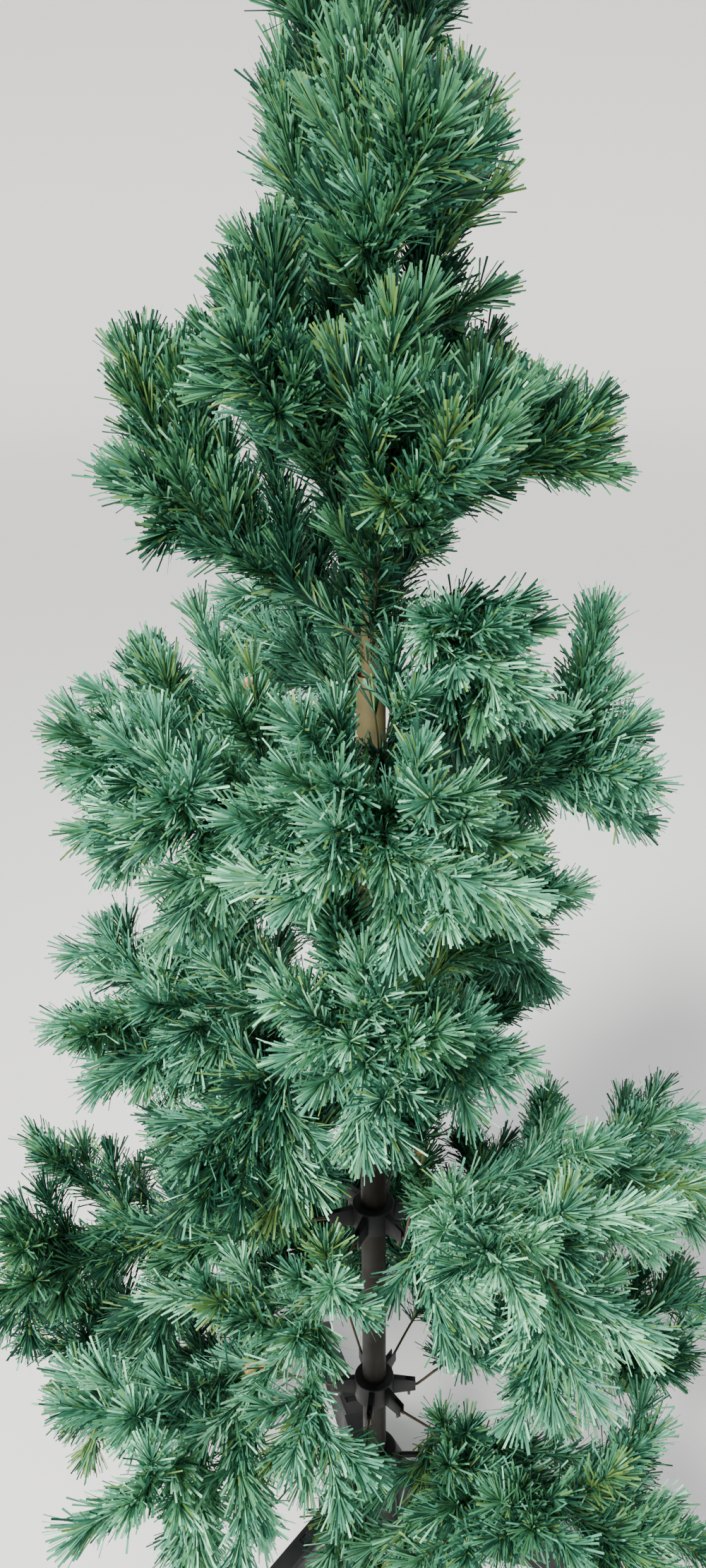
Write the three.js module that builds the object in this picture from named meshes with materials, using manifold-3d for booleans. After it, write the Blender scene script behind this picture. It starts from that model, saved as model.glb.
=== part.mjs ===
// An artificial christmas tree in a three-legged stand, millimetres, +Z up.
// Azimuths turn from +X towards +Y, and the front of the tree looks along -Y.
import * as THREE from 'three';
import { mergeVertices } from 'three/addons/utils/BufferGeometryUtils.js';
import Module from 'manifold-3d';

const wasm = await Module();
wasm.setup();

// Clear width between pieces that touch
const GAP = 0.3;

// The pole is a tube in two sections, with a thinner rod on top that runs up inside the crown
const POLE_RADIUS = 16;
const POLE_SIDES = 16;
const POLE_JOINT_HEIGHT = 700;
const POLE_SHOULDER_HEIGHT = 1290;
const POLE_TOP_HEIGHT = 1860;
const POLE_CHAMFER = 3;
const SWAGE_RADIUS = 17.5;
const SWAGE_LENGTH = 45;
const ROD_FOOT_RADIUS = 10;
const ROD_TIP_RADIUS = 6;

// The stand is a hub with a blind socket for the pole and three sleeves for the legs
const HUB_RADIUS = 46;
const HUB_HEIGHT = 150;
const HUB_FLOOR = 12;
const HUB_SIDES = 20;
const HUB_NECK = 14;
const SLEEVE_REACH = 92;
const SLEEVE_WALL = 6;
const SLEEVE_HEIGHT = 112;
const LEG_COUNT = 3;
const LEG_FIRST_AZIMUTH = 105;
const LEG_WIDTH = 30;
const LEG_INNER_HEIGHT = 100;
const LEG_OUTER_HEIGHT = 38;
const LEG_START = 52;
const LEG_REACH = 345;
const LEG_NOSE = 14;
const SCREW_RADIUS = 4;
const SCREW_HEIGHT = 133;
const SCREW_REACH = 62;
const SCREW_HEAD_RADIUS = 12;
const SCREW_HEAD_THICKNESS = 7;
const SCREW_SIDES = 10;
// How far a cutting shape runs past the face that it opens
const PAST = 1;

// A branch ring is a collar round the pole with one slotted arm under each bough
const COLLAR_RADIUS = 27;
const COLLAR_HEIGHT = 34;
const ARM_START = 20;
const ARM_REACH = 57;
const ARM_WIDTH = 8;
const ARM_INNER_HEIGHT = 30;
const ARM_OUTER_HEIGHT = 18;

// A bough's wire and the three-sided stem that carries its needles
const WIRE_ROOT_RADIUS = 3.4;
const WIRE_TIP_RADIUS = 2.8;
const WIRE_SIDES = 6;
const STEM_RADIUS = 4;
const STEM_SIDES = 3;
const TWIG_OVERLAP = 20;
const WIRE_STEPS = 2;
// A bough shorter than this has no bare wire of its own
const SHORT_BOUGH = 200;

// A brush of needles is a slim core with tiers of points that rake forward
const BRUSH_POINTS = 4;
const BRUSH_VALLEY = 0.45;
const BRUSH_UNDERCUT = 14;
const BRUSH_SINK = 6;
const BRUSH_START = 8;
const BRUSH_FAN = 20;
const BRUSH_TIER_LENGTH = 95;
const BRUSH_TURN_FROM = 0.6;
const BRUSH_STEPS = 4;
const TIP_RADIUS = 32;
const BOUGH_RADIUS = 22;
const COLUMN_RADIUS = 22;

// The rule for the tips along a bough
const PATH_STEPS = 8;
const TIP_STEPS = 3;
const FIRST_TIP = 0.16;
const LAST_TIP = 0.88;
const TIP_SETBACK = 26;
const PLACE_SHIFT = 0.6;
const TILTS = [28, -14, 6, -30, 40];
const STEEPEST = 86;
const ANGLE_SPREAD = [0.7, 1.3];
const SHORTEST_TIP = 62;
const LONGEST_TIP = 190;
const TIP_SHARE = 0.62;
const LENGTH_SPREAD = [0.85, 1.15];
const CURLS = [-6.6, 15.4];
// Shares of a tip's length and radius, tried in turn until it stays clear
const FITS = [[1, 1], [0.8, 1], [0.85, 0.75], [0.62, 0.75], [0.6, 0.55]];
const CLEAR = 2;
const LOWEST_TIP = 40;
const SEED = 1000;
const SEED_STEP = 77;

// Azimuth, swing, rise and lift at the end, length, tips, spread and lean of each bough,
// and where it has them, extra tips: their place along the bough, opening, tilt and length
const TIERS = [
  { name: 'tier1', height: 270, ring: true, wire: true, bare: 50, radius: TIP_RADIUS, boughs: {
    right: [0, -4, 50, -40, 370, 5, 34, 0,
      [0.4, -30, -60, 120], [0.12, -30, 70, 110], [0.75, 10, 60, 130]],
    front_right: [-50, 14, 20, -2, 400, 8, 46, 0, [0.16, -60, -24, 160], [0.3, -50, -20, 150]],
    front_left: [-98, 4, -18, -40, 130, 2, 20, 0],
    left: [180, -12, 18, -10, 385, 6, 20, 0],
    rear_left: [108, -10, 12, 4, 300, 8, 44, 0, [0.25, -30, 60, 120], [0.4, 0, -30, 110]],
    rear_right: [60, -24, 16, 0, 360, 8, 42, 0, [0.2, 30, 40, 120]],
  } },
  { name: 'tier2', height: 570, ring: true, wire: true, bare: 50, radius: TIP_RADIUS, boughs: {
    left: [190, -14, 2, -14, 410, 8, 40, -14, [0.72, 24, 46, 120]],
    front_left: [246, -26, -12, 4, 420, 6, 36, 0, [0.2, 40, 60, 120], [0.7, 16, -64, 150]],
    front_right: [310, 0, 88, -74, 400, 8, 44, 0, [0.34, -14, -96, 150], [0.14, -30, -80, 190]],
    right: [10, 10, 6, -8, 400, 8, 38, -14, [0.4, -6, 86, 130], [0.6, -20, -80, 150], [0.8, 6, -70, 150]],
    rear_right: [70, -2, 34, 6, 360, 8, 44, 0, [0.3, 20, -80, 150], [0.6, 0, -70, 140]],
    rear_left: [130, -4, 34, 6, 360, 8, 42, 0, [0.2, -96, 16, 120], [0.3, -30, -80, 150]],
  } },
  { name: 'tier3', height: 860, ring: true, bare: 45, radius: TIP_RADIUS, boughs: {
    left: [182, -4, 20, -14, 252, 6, 30, -8, [0.15, -60, 20, 130], [0.35, -50, 40, 120]],
    front_left: [214, 0, -10, -58, 185, 6, 34, 0, [0.45, 70, -20, 130]],
    front: [262, 6, 44, 28, 250, 6, 38, 0, [0.5, 16, 40, 130], [0.4, 10, -84, 110]],
    right: [298, -4, 42, 20, 112, 5, 30, 0, [0.5, 0, -90, 110]],
    rear_right: [38, -4, 34, 26, 212, 7, 32, -4,
      [0.75, 10, -80, 110], [0.3, 60, -50, 140], [0.4, 50, 10, 140]],
    rear_left: [112, 0, 48, 20, 300, 6, 34, 0,
      [0.45, 60, -30, 120], [0.25, 60, -30, 120], [0.3, -20, -80, 150]],
  } },
  { name: 'tier4', height: 1165, ring: true, bare: 45, radius: TIP_RADIUS, boughs: {
    left: [174, 4, 18, -4, 240, 7, 32, -8, [0.6, -6, 62, 110], [0.42, -10, 80, 130]],
    front_left: [214, 4, 20, -18, 205, 7, 40, 0, [0.6, 10, -70, 110], [0.35, -10, 75, 130]],
    front: [272, 0, 34, -14, 240, 8, 46, -8,
      [0.5, 10, -64, 120], [0.6, 34, -70, 120], [0.2, 60, 56, 120]],
    right: [352, 4, -14, 58, 204, 5, 20, -20, [0.2, 165, 62, 110], [0.92, 0, 40, 90]],
    rear_right: [40, 0, -10, -6, 175, 4, 30, -20, [0.4, 40, -60, 130], [0.4, 60, 10, 140]],
    rear_left: [106, 0, 42, 16, 290, 6, 28, 0,
      [0.6, 50, -40, 130], [0.3, -30, -80, 150], [0.3, 20, -60, 140]],
  } },
  { name: 'tier5', height: 1330, bare: 45, radius: TIP_RADIUS, boughs: {
    left: [176, 2, 34, 54, 300, 6, 28, 6, [0.85, 12, 20, 110]],
    front: [276, 0, 58, 70, 280, 6, 30, -6, [0.14, 52, -84, 100]],
    front_right: [320, -8, 56, -50, 134, 6, 18, -12],
    rear_right: [52, 0, 50, 62, 290, 6, 34, -6, [0.3, 50, -50, 130], [0.5, 50, -10, 130]],
  } },
  { name: 'tier6', height: 1420, bare: 45, radius: TIP_RADIUS, boughs: {
    front_left: [222, -4, 54, 68, 245, 6, 30, 0],
    right: [358, 2, 38, 30, 200, 3, 14, -10, [0.56, 12, -12, 90], [0.3, -20, 40, 110]],
    rear_left: [116, 0, 56, 52, 280, 6, 34, -6, [0.3, -30, -50, 130], [0.5, -50, 0, 130]],
  } },
  { name: 'tier7', height: 1520, bare: 50, radius: COLUMN_RADIUS, boughs: {
    front: [268, 0, 62, 92, 290, 6, 36, -4],
    right: [10, 0, 64, 92, 280, 6, 12, 24, [0.24, 30, -10, 100]],
    left: [150, 0, 70, 94, 290, 6, 12, 21],
  } },
  { name: 'tier8', height: 1700, bare: 45, radius: COLUMN_RADIUS, boughs: {
    left: [215, 0, 66, 92, 250, 6, 28, 2],
    right: [44, 0, 66, 90, 250, 6, 34, -2, [0.3, -12, -24, 120]],
  } },
];
const LEADER = { name: 'leader', height: POLE_TOP_HEIGHT + GAP, radius: COLUMN_RADIUS, bare: 4 };
const LEADER_BOUGH = [0, 0, 89, 90, 215, 4, 90, -34];

const group = new THREE.Group();

function material(hex, roughness, metalness) {
  return new THREE.MeshStandardMaterial({ color: hex, roughness, metalness });
}

function add(name, geometry, look) {
  const mesh = new THREE.Mesh(geometry, look.clone());
  mesh.name = name;
  group.add(mesh);
}

const NEEDLES = material(0x2f5a45, 0.6, 0);
const BARK_PAINT = material(0x6b4a2c, 0.5, 0.2);
const BLACK_PLASTIC = material(0x17181a, 0.45, 0);
const BARE_WIRE = material(0x4a3a2a, 0.5, 0.4);

// Solids and booleans

const WELD = 1e-4;
const SIMPLER = 0.01;

function toSolid(source) {
  const shape = source.clone();
  shape.deleteAttribute('normal');
  shape.deleteAttribute('uv');
  const merged = mergeVertices(shape, WELD);
  const corners = [];
  for (let i = 0; i < merged.index.count; i += 3) {
    const [a, b, c] = [0, 1, 2].map((k) => merged.index.getX(i + k));
    if (a !== b && b !== c && c !== a) corners.push(a, b, c);
  }
  const mesh = new wasm.Mesh({
    numProp: 3,
    vertProperties: new Float32Array(merged.attributes.position.array),
    triVerts: new Uint32Array(corners),
  });
  return new wasm.Manifold(mesh);
}

function toGeometry(solid) {
  const mesh = solid.getMesh();
  const geometry = new THREE.BufferGeometry();
  geometry.setAttribute('position', new THREE.BufferAttribute(mesh.vertProperties, 3));
  geometry.setIndex(new THREE.BufferAttribute(mesh.triVerts, 1));
  geometry.computeVertexNormals();
  return geometry;
}

function join(solids) {
  return solids.reduce((whole, next) => whole.add(next));
}

// Keeps the outer body of a fused solid: a hollow sealed inside is filled, a loose scrap dropped
function outerBody(solid) {
  const bodies = solid.decompose();
  return bodies.reduce((most, body) => (body.volume() > most.volume() ? body : most));
}

// A profile of [radius, height] pairs turned round the Z axis
function turned(profile, sides) {
  const points = profile.map(([radius, height]) => new THREE.Vector2(radius, height));
  return new THREE.LatheGeometry(points, sides).rotateX(Math.PI / 2);
}

function box(x0, x1, width, z0, z1) {
  const shape = new THREE.BoxGeometry(x1 - x0, width, z1 - z0);
  return shape.translate((x0 + x1) / 2, 0, (z0 + z1) / 2);
}

// An outline of [x, z] pairs given a width along Y, about the XZ plane
function plate(outline, width) {
  const shape = new THREE.Shape(outline.map(([x, z]) => new THREE.Vector2(x, z)));
  const solid = new THREE.ExtrudeGeometry(shape, { depth: width, bevelEnabled: false });
  return solid.translate(0, 0, -width / 2).rotateX(Math.PI / 2);
}

function aroundZ(geometry, azimuth) {
  return geometry.rotateZ(THREE.MathUtils.degToRad(azimuth));
}

// Growth: seeded dice, headings and bent paths

function dice(seed) {
  let state = seed >>> 0;
  return () => {
    state = (state + 0x6d2b79f5) >>> 0;
    let t = state;
    t = Math.imul(t ^ (t >>> 15), t | 1);
    t ^= t + Math.imul(t ^ (t >>> 7), t | 61);
    return ((t ^ (t >>> 14)) >>> 0) / 4294967296;
  };
}

function between(roll, [low, high]) {
  return low + (high - low) * roll();
}

function heading(azimuth, elevation) {
  const a = THREE.MathUtils.degToRad(azimuth);
  const e = THREE.MathUtils.degToRad(elevation);
  return new THREE.Vector3(Math.cos(e) * Math.cos(a), Math.cos(e) * Math.sin(a), Math.sin(e));
}

function bentPath(start, azimuth, swing, rise, lift, length, steps) {
  const points = [start.clone()];
  for (let i = 0; i < steps; i += 1) {
    const t = (i + 0.5) / steps;
    const way = heading(azimuth + swing * t, rise + (lift - rise) * t);
    points.push(points[i].clone().addScaledVector(way, length / steps));
  }
  return points;
}

function along(points, t) {
  const place = Math.min(Math.max(t, 0), 1) * (points.length - 1);
  const i = Math.min(Math.floor(place), points.length - 2);
  return points[i].clone().lerp(points[i + 1], place - i);
}

function partOf(points, from, to, steps) {
  const part = [];
  for (let i = 0; i <= steps; i += 1) part.push(along(points, from + ((to - from) * i) / steps));
  return part;
}

function segmentGap(p, q, a, b) {
  const d1 = q.clone().sub(p);
  const d2 = b.clone().sub(a);
  const r = p.clone().sub(a);
  const [one, two, both] = [d1.dot(d1), d2.dot(d2), d1.dot(d2)];
  const [c, f] = [d1.dot(r), d2.dot(r)];
  const spread = one * two - both * both;
  let s = spread > Number.EPSILON ? THREE.MathUtils.clamp((both * f - c * two) / spread, 0, 1) : 0;
  let t = (both * s + f) / two;
  if (t < 0) {
    t = 0;
    s = THREE.MathUtils.clamp(-c / one, 0, 1);
  } else if (t > 1) {
    t = 1;
    s = THREE.MathUtils.clamp((both - c) / one, 0, 1);
  }
  return p.clone().addScaledVector(d1, s).distanceTo(a.clone().addScaledVector(d2, t));
}

function pathGap(one, two) {
  let least = Infinity;
  for (let i = 0; i + 1 < one.length; i += 1) {
    for (let j = 0; j + 1 < two.length; j += 1) {
      least = Math.min(least, segmentGap(one[i], one[i + 1], two[j], two[j + 1]));
    }
  }
  return least;
}

// Every bough's stem first, then its tips, each only where it stays clear of all others

function listBoughs() {
  const rows = [];
  for (const tier of TIERS) {
    for (const [side, shape] of Object.entries(tier.boughs)) {
      rows.push({ tier, shape, name: `${tier.name}_${side}` });
    }
  }
  rows.push({ tier: LEADER, shape: LEADER_BOUGH, name: 'leader' });
  return rows;
}

function rodRadius(height) {
  const share = (height - POLE_SHOULDER_HEIGHT) / (POLE_TOP_HEIGHT - POLE_SHOULDER_HEIGHT);
  return ROD_FOOT_RADIUS + (ROD_TIP_RADIUS - ROD_FOOT_RADIUS) * share;
}

// The stem's root is pushed out by the corner of its end face that leans furthest inwards
function stemOf({ tier, shape, wire }) {
  const [azimuth, swing, rise, lift, length] = shape;
  const face = tier.ring ? ARM_REACH : rodRadius(tier.height);
  const origin = new THREE.Vector3(0, 0, tier.height);
  const path = bentPath(origin, azimuth, swing, rise, lift, length, PATH_STEPS);
  if (tier === LEADER) return path;
  const reach = wire ? tier.bare / WIRE_STEPS : tier.bare + TWIG_OVERLAP;
  const slope = along(path, reach / length).sub(origin).normalize().z;
  const twigCorner = slope > 0 ? STEM_RADIUS * Math.cos(Math.PI / STEM_SIDES) : STEM_RADIUS;
  const corner = wire ? WIRE_ROOT_RADIUS : twigCorner;
  const out = heading(azimuth, 0).multiplyScalar(face + GAP + corner * Math.abs(slope));
  return path.map((point) => point.add(out));
}

function wantedTips(bough, number) {
  const [, , , , length, tips, spread, lean, ...extras] = bough.shape;
  const roll = dice(SEED + SEED_STEP * number);
  const first = Math.max(FIRST_TIP, bough.bare + TIP_SETBACK / length);
  const wanted = [];
  for (let i = 0; i < tips; i += 1) {
    const place = first + ((LAST_TIP - first) * (i + PLACE_SHIFT * roll())) / tips;
    const opening = (i % 2 ? 1 : -1) * spread * between(roll, ANGLE_SPREAD);
    const tilt = lean + TILTS[i % TILTS.length] * between(roll, ANGLE_SPREAD);
    const whole = Math.min(LONGEST_TIP, SHORTEST_TIP + (1 - place) * length * TIP_SHARE);
    const long = whole * between(roll, LENGTH_SPREAD);
    wanted.push({ place, opening, tilt, long, curl: between(roll, CURLS) });
  }
  for (const [place, opening, tilt, long] of extras) wanted.push({ place, opening, tilt, long, curl: 0 });
  return wanted;
}

function tipPath(bough, tip) {
  const [azimuth, swing, rise, lift] = bough.shape;
  const start = along(bough.stem, tip.place);
  const elevation = Math.min(rise + (lift - rise) * tip.place + tip.tilt, STEEPEST);
  const side = azimuth + swing * tip.place + tip.opening;
  return bentPath(start, side, 0, elevation, elevation + tip.curl, tip.long, TIP_STEPS);
}

function shortened(path, share) {
  return path.map((point) => path[0].clone().lerp(point, share));
}

function isClear(owner, path, radius, taken) {
  if (path.some((point) => point.z < LOWEST_TIP + radius)) return false;
  return taken.every(
    (other) => other.owner === owner || pathGap(path, other.path) > radius + other.radius + CLEAR,
  );
}

function hardware() {
  const axis = (z0, z1) => [new THREE.Vector3(0, 0, z0), new THREE.Vector3(0, 0, z1)];
  const taken = [
    { path: axis(0, POLE_SHOULDER_HEIGHT), radius: SWAGE_RADIUS },
    { path: axis(POLE_SHOULDER_HEIGHT, POLE_TOP_HEIGHT), radius: ROD_FOOT_RADIUS },
    { path: axis(0, HUB_HEIGHT), radius: SLEEVE_REACH },
  ];
  for (const tier of TIERS.filter((one) => one.ring)) {
    taken.push({ path: axis(tier.height - 1, tier.height + 1), radius: ARM_REACH + GAP });
  }
  return taken;
}

function grow() {
  const boughs = listBoughs();
  const taken = hardware();
  for (const bough of boughs) {
    const length = bough.shape[4];
    bough.wire = bough.tier.wire && length > SHORT_BOUGH;
    bough.stem = stemOf(bough);
    bough.bare = bough.tier.bare / length;
    bough.brush = partOf(bough.stem, bough.bare + BRUSH_START / length, 1, BRUSH_STEPS);
    bough.thickness = Math.min(bough.tier.radius, BOUGH_RADIUS);
    bough.tips = [];
    taken.push({ owner: bough, path: bough.brush, radius: bough.thickness });
    taken.push({ owner: bough, path: [bough.stem[0], bough.brush[0]], radius: STEM_RADIUS });
  }
  boughs.forEach((bough, number) => {
    for (const tip of wantedTips(bough, number)) {
      const whole = tipPath(bough, tip);
      const clear = ([cut, thin]) => isClear(bough, shortened(whole, cut), bough.tier.radius * thin, taken);
      const fit = FITS.find(clear);
      if (fit) {
        const placed = { owner: bough, path: shortened(whole, fit[0]), radius: bough.tier.radius * fit[1] };
        bough.tips.push(placed);
        taken.push(placed);
      }
    }
  });
  return boughs;
}

// Bends a shape made along +Z on to a path, with its X axis kept level
function bendAlong(geometry, path, length) {
  const ends = path[path.length - 1].clone().sub(path[0]);
  const level = Math.hypot(ends.x, ends.y) > 1e-6 ? Math.atan2(ends.y, ends.x) : 0;
  const side = new THREE.Vector3(-Math.sin(level), Math.cos(level), 0);
  const places = geometry.attributes.position;
  const steps = path.length - 1;
  for (let i = 0; i < places.count; i += 1) {
    const t = places.getZ(i) / length;
    const k = Math.min(Math.max(Math.floor(t * steps), 0), steps - 1);
    const way = path[k + 1].clone().sub(path[k]).normalize();
    const up = way.clone().cross(side).normalize();
    const across = up.clone().cross(way).normalize();
    const point = along(path, t);
    const beyond = t < 0 ? places.getZ(i) : Math.max(places.getZ(i) - length, 0);
    point.addScaledVector(way, beyond);
    point.addScaledVector(across, places.getX(i)).addScaledVector(up, places.getY(i));
    places.setXYZ(i, point.x, point.y, point.z);
  }
  return geometry;
}

function pathLength(path) {
  return path.slice(1).reduce((sum, point, i) => sum + point.distanceTo(path[i]), 0);
}

// A slim core along +Z with tiers of points that rake forward, the second turned between the first
function brush(path, radius) {
  const length = pathLength(path);
  const tiers = Math.max(1, Math.round(length / BRUSH_TIER_LENGTH));
  const profile = [[0, -BRUSH_SINK]];
  for (let i = 1; i <= tiers; i += 1) {
    const forward = (length * i) / tiers;
    profile.push([radius, forward]);
    if (i < tiers) profile.push([radius * BRUSH_VALLEY, forward - BRUSH_UNDERCUT]);
  }
  profile.push([0, length + BRUSH_FAN]);
  const shape = turned(profile, BRUSH_POINTS);
  const places = shape.attributes.position;
  for (let i = 0; i < places.count; i += 1) {
    const turn = places.getZ(i) > BRUSH_TURN_FROM * length ? Math.PI / BRUSH_POINTS : 0;
    const [x, y] = [places.getX(i), places.getY(i)];
    const [cos, sin] = [Math.cos(turn), Math.sin(turn)];
    places.setXY(i, x * cos - y * sin, x * sin + y * cos);
  }
  return toSolid(bendAlong(shape, path, length));
}

function rod(path, rootRadius, tipRadius, sides) {
  const length = pathLength(path);
  const profile = [[0, 0], [rootRadius, 0]];
  const steps = path.length - 1;
  for (let i = 1; i <= steps; i += 1) {
    const t = i / steps;
    profile.push([rootRadius + (tipRadius - rootRadius) * t, length * t]);
  }
  profile.push([0, length]);
  return toSolid(bendAlong(turned(profile, sides), path, length));
}

function twigEnd(bough) {
  return bough.bare + TWIG_OVERLAP / bough.shape[4];
}

// Where the twig starts past its wire's end, so that the two end faces stay clear at a bend
function twigStart(bough) {
  if (!bough.wire) return 0;
  const wire = partOf(bough.stem, 0, bough.bare, WIRE_STEPS);
  const twig = partOf(bough.stem, bough.bare, twigEnd(bough), 1);
  const before = wire[WIRE_STEPS].clone().sub(wire[WIRE_STEPS - 1]);
  const bend = before.angleTo(twig[1].clone().sub(twig[0]));
  return bough.bare + (GAP + STEM_RADIUS * Math.sin(bend)) / bough.shape[4];
}

function foliage(bough) {
  const path = partOf(bough.stem, twigStart(bough), twigEnd(bough), 1);
  const twig = rod(path, STEM_RADIUS, STEM_RADIUS, STEM_SIDES);
  const brushes = [brush(bough.brush, bough.thickness)];
  for (const tip of bough.tips) brushes.push(brush(tip.path, tip.radius));
  return toGeometry(outerBody(join([twig, ...brushes]).asOriginal().simplify(SIMPLER)));
}

// Stand, pole and rings

function hub() {
  const boss = toSolid(turned([[0, 0], [HUB_RADIUS, 0], [HUB_RADIUS, SLEEVE_HEIGHT],
    [POLE_RADIUS + HUB_NECK, HUB_HEIGHT], [0, HUB_HEIGHT]], HUB_SIDES));
  const sleeves = [];
  const pockets = [];
  for (let i = 0; i < LEG_COUNT; i += 1) {
    const azimuth = LEG_FIRST_AZIMUTH + (360 / LEG_COUNT) * i;
    const sleeve = box(0, SLEEVE_REACH, LEG_WIDTH + 2 * SLEEVE_WALL, 0, SLEEVE_HEIGHT);
    const opening = box(LEG_START - GAP, SLEEVE_REACH + PAST, LEG_WIDTH + 2 * GAP, -PAST,
      LEG_INNER_HEIGHT + GAP);
    sleeves.push(toSolid(aroundZ(sleeve, azimuth)));
    pockets.push(toSolid(aroundZ(opening, azimuth)));
  }
  const head = SCREW_REACH + SCREW_HEAD_THICKNESS;
  const screw = turned([[0, POLE_RADIUS + GAP], [SCREW_RADIUS, POLE_RADIUS + GAP],
    [SCREW_RADIUS, SCREW_REACH], [SCREW_HEAD_RADIUS, SCREW_REACH], [SCREW_HEAD_RADIUS, head], [0, head]],
  SCREW_SIDES);
  screw.rotateY(Math.PI / 2).translate(0, 0, SCREW_HEIGHT);
  const bore = POLE_RADIUS + GAP;
  const rim = HUB_HEIGHT + PAST;
  const socket = turned([[0, HUB_FLOOR], [bore, HUB_FLOOR], [bore, rim], [0, rim]], POLE_SIDES);
  const body = join([boss, ...sleeves, toSolid(screw)]);
  return toGeometry(body.subtract(join([toSolid(socket), ...pockets])));
}

function leg(azimuth) {
  const outline = [[LEG_START, 0], [LEG_REACH, 0], [LEG_REACH, LEG_OUTER_HEIGHT - LEG_NOSE],
    [LEG_REACH - LEG_NOSE, LEG_OUTER_HEIGHT], [SLEEVE_REACH + GAP, LEG_INNER_HEIGHT],
    [LEG_START, LEG_INNER_HEIGHT]];
  return aroundZ(plate(outline, LEG_WIDTH), azimuth);
}

function tube(foot, head, swage) {
  const profile = [[0, foot], [POLE_RADIUS, foot]];
  if (swage) {
    profile.push([POLE_RADIUS, head - SWAGE_LENGTH], [SWAGE_RADIUS, head - SWAGE_LENGTH + POLE_CHAMFER]);
    profile.push([SWAGE_RADIUS, head]);
  } else {
    profile.push([POLE_RADIUS, head - POLE_CHAMFER], [POLE_RADIUS - POLE_CHAMFER, head]);
  }
  profile.push([0, head]);
  return turned(profile, POLE_SIDES);
}

function rodOnTop() {
  const foot = POLE_SHOULDER_HEIGHT + GAP;
  return turned([[0, foot], [ROD_FOOT_RADIUS, foot], [ROD_TIP_RADIUS, POLE_TOP_HEIGHT],
    [0, POLE_TOP_HEIGHT]], POLE_SIDES);
}

function ring(tier) {
  const [low, high] = [tier.height - COLLAR_HEIGHT / 2, tier.height + COLLAR_HEIGHT / 2];
  const collar = turned([[0, low], [COLLAR_RADIUS, low], [COLLAR_RADIUS, high], [0, high]], POLE_SIDES);
  const bore = POLE_RADIUS + GAP;
  const [under, over] = [low - PAST, high + PAST];
  const hole = turned([[0, under], [bore, under], [bore, over], [0, over]], POLE_SIDES);
  const outline = [[ARM_START, -ARM_INNER_HEIGHT / 2], [ARM_REACH, -ARM_OUTER_HEIGHT / 2],
    [ARM_REACH, ARM_OUTER_HEIGHT / 2], [ARM_START, ARM_INNER_HEIGHT / 2]];
  const arms = Object.values(tier.boughs).map(([azimuth]) => {
    const arm = plate(outline, ARM_WIDTH).translate(0, 0, tier.height);
    return toSolid(aroundZ(arm, azimuth));
  });
  return toGeometry(join([toSolid(collar), ...arms]).subtract(toSolid(hole)));
}

add('stand_hub', hub(), BLACK_PLASTIC);
for (let i = 0; i < LEG_COUNT; i += 1) {
  add(`stand_leg_${i + 1}`, leg(LEG_FIRST_AZIMUTH + (360 / LEG_COUNT) * i), BLACK_PLASTIC);
}
add('pole_lower', tube(HUB_FLOOR + GAP, POLE_JOINT_HEIGHT, true), BARK_PAINT);
add('pole_middle', tube(POLE_JOINT_HEIGHT + GAP, POLE_SHOULDER_HEIGHT, false), BARK_PAINT);
add('pole_top', rodOnTop(), BARK_PAINT);
for (const tier of TIERS.filter((one) => one.ring)) add(`${tier.name}_ring`, ring(tier), BLACK_PLASTIC);
for (const bough of grow()) {
  if (bough.wire) {
    const path = partOf(bough.stem, 0, bough.bare, WIRE_STEPS);
    const wire = rod(path, WIRE_ROOT_RADIUS, WIRE_TIP_RADIUS, WIRE_SIDES);
    add(`wire_${bough.name}`, toGeometry(wire), BARE_WIRE);
  }
  add(`foliage_${bough.name}`, foliage(bough), NEEDLES);
}

export default group;
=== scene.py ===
"""An artificial christmas tree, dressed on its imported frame: needles, twigs, wires, pole, rings and stand."""

import functools
import math

import bmesh
import bpy
import mathutils
import numpy as np
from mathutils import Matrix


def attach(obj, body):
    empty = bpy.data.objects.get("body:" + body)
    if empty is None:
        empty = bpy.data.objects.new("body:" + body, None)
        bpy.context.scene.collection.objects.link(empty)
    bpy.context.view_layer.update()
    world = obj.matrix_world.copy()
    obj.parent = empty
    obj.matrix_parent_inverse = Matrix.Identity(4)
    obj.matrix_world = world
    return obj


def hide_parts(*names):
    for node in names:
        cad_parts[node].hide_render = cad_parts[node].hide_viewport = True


bl_info = {
    "name": "Artificial christmas tree",
    "version": (1, 0, 0),
    "blender": (4, 5, 0),
    "location": "3D View > Sidebar > Tree",
    "description": "Builds the needles, twigs, wires, pole, branch rings and stand of the tree",
    "category": "Object",
}

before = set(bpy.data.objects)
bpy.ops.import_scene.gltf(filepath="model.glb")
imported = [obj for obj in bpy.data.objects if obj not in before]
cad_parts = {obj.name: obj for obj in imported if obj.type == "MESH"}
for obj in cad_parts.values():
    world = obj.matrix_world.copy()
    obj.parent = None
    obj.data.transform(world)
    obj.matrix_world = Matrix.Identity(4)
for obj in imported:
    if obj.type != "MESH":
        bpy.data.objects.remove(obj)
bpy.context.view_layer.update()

# Sizes and the growth rule are in millimetres, as in the part's source; meshes are in metres
MM = 0.001
PHOTO_SIZE = (1000, 2222)

# The camera: how far it stands in front of the pole, above the floor and left of the pole, its focal
# length in the photograph's pixels, and its pitch and lean in degrees
VIEW_DISTANCE = 1200
VIEW_HEIGHT = 1650
VIEW_SHIFT = 15
FOCAL_PIXELS = 1669
SENSOR_SIZE = 36
VIEW_PITCH = 22
VIEW_LEAN = 0.6

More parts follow.
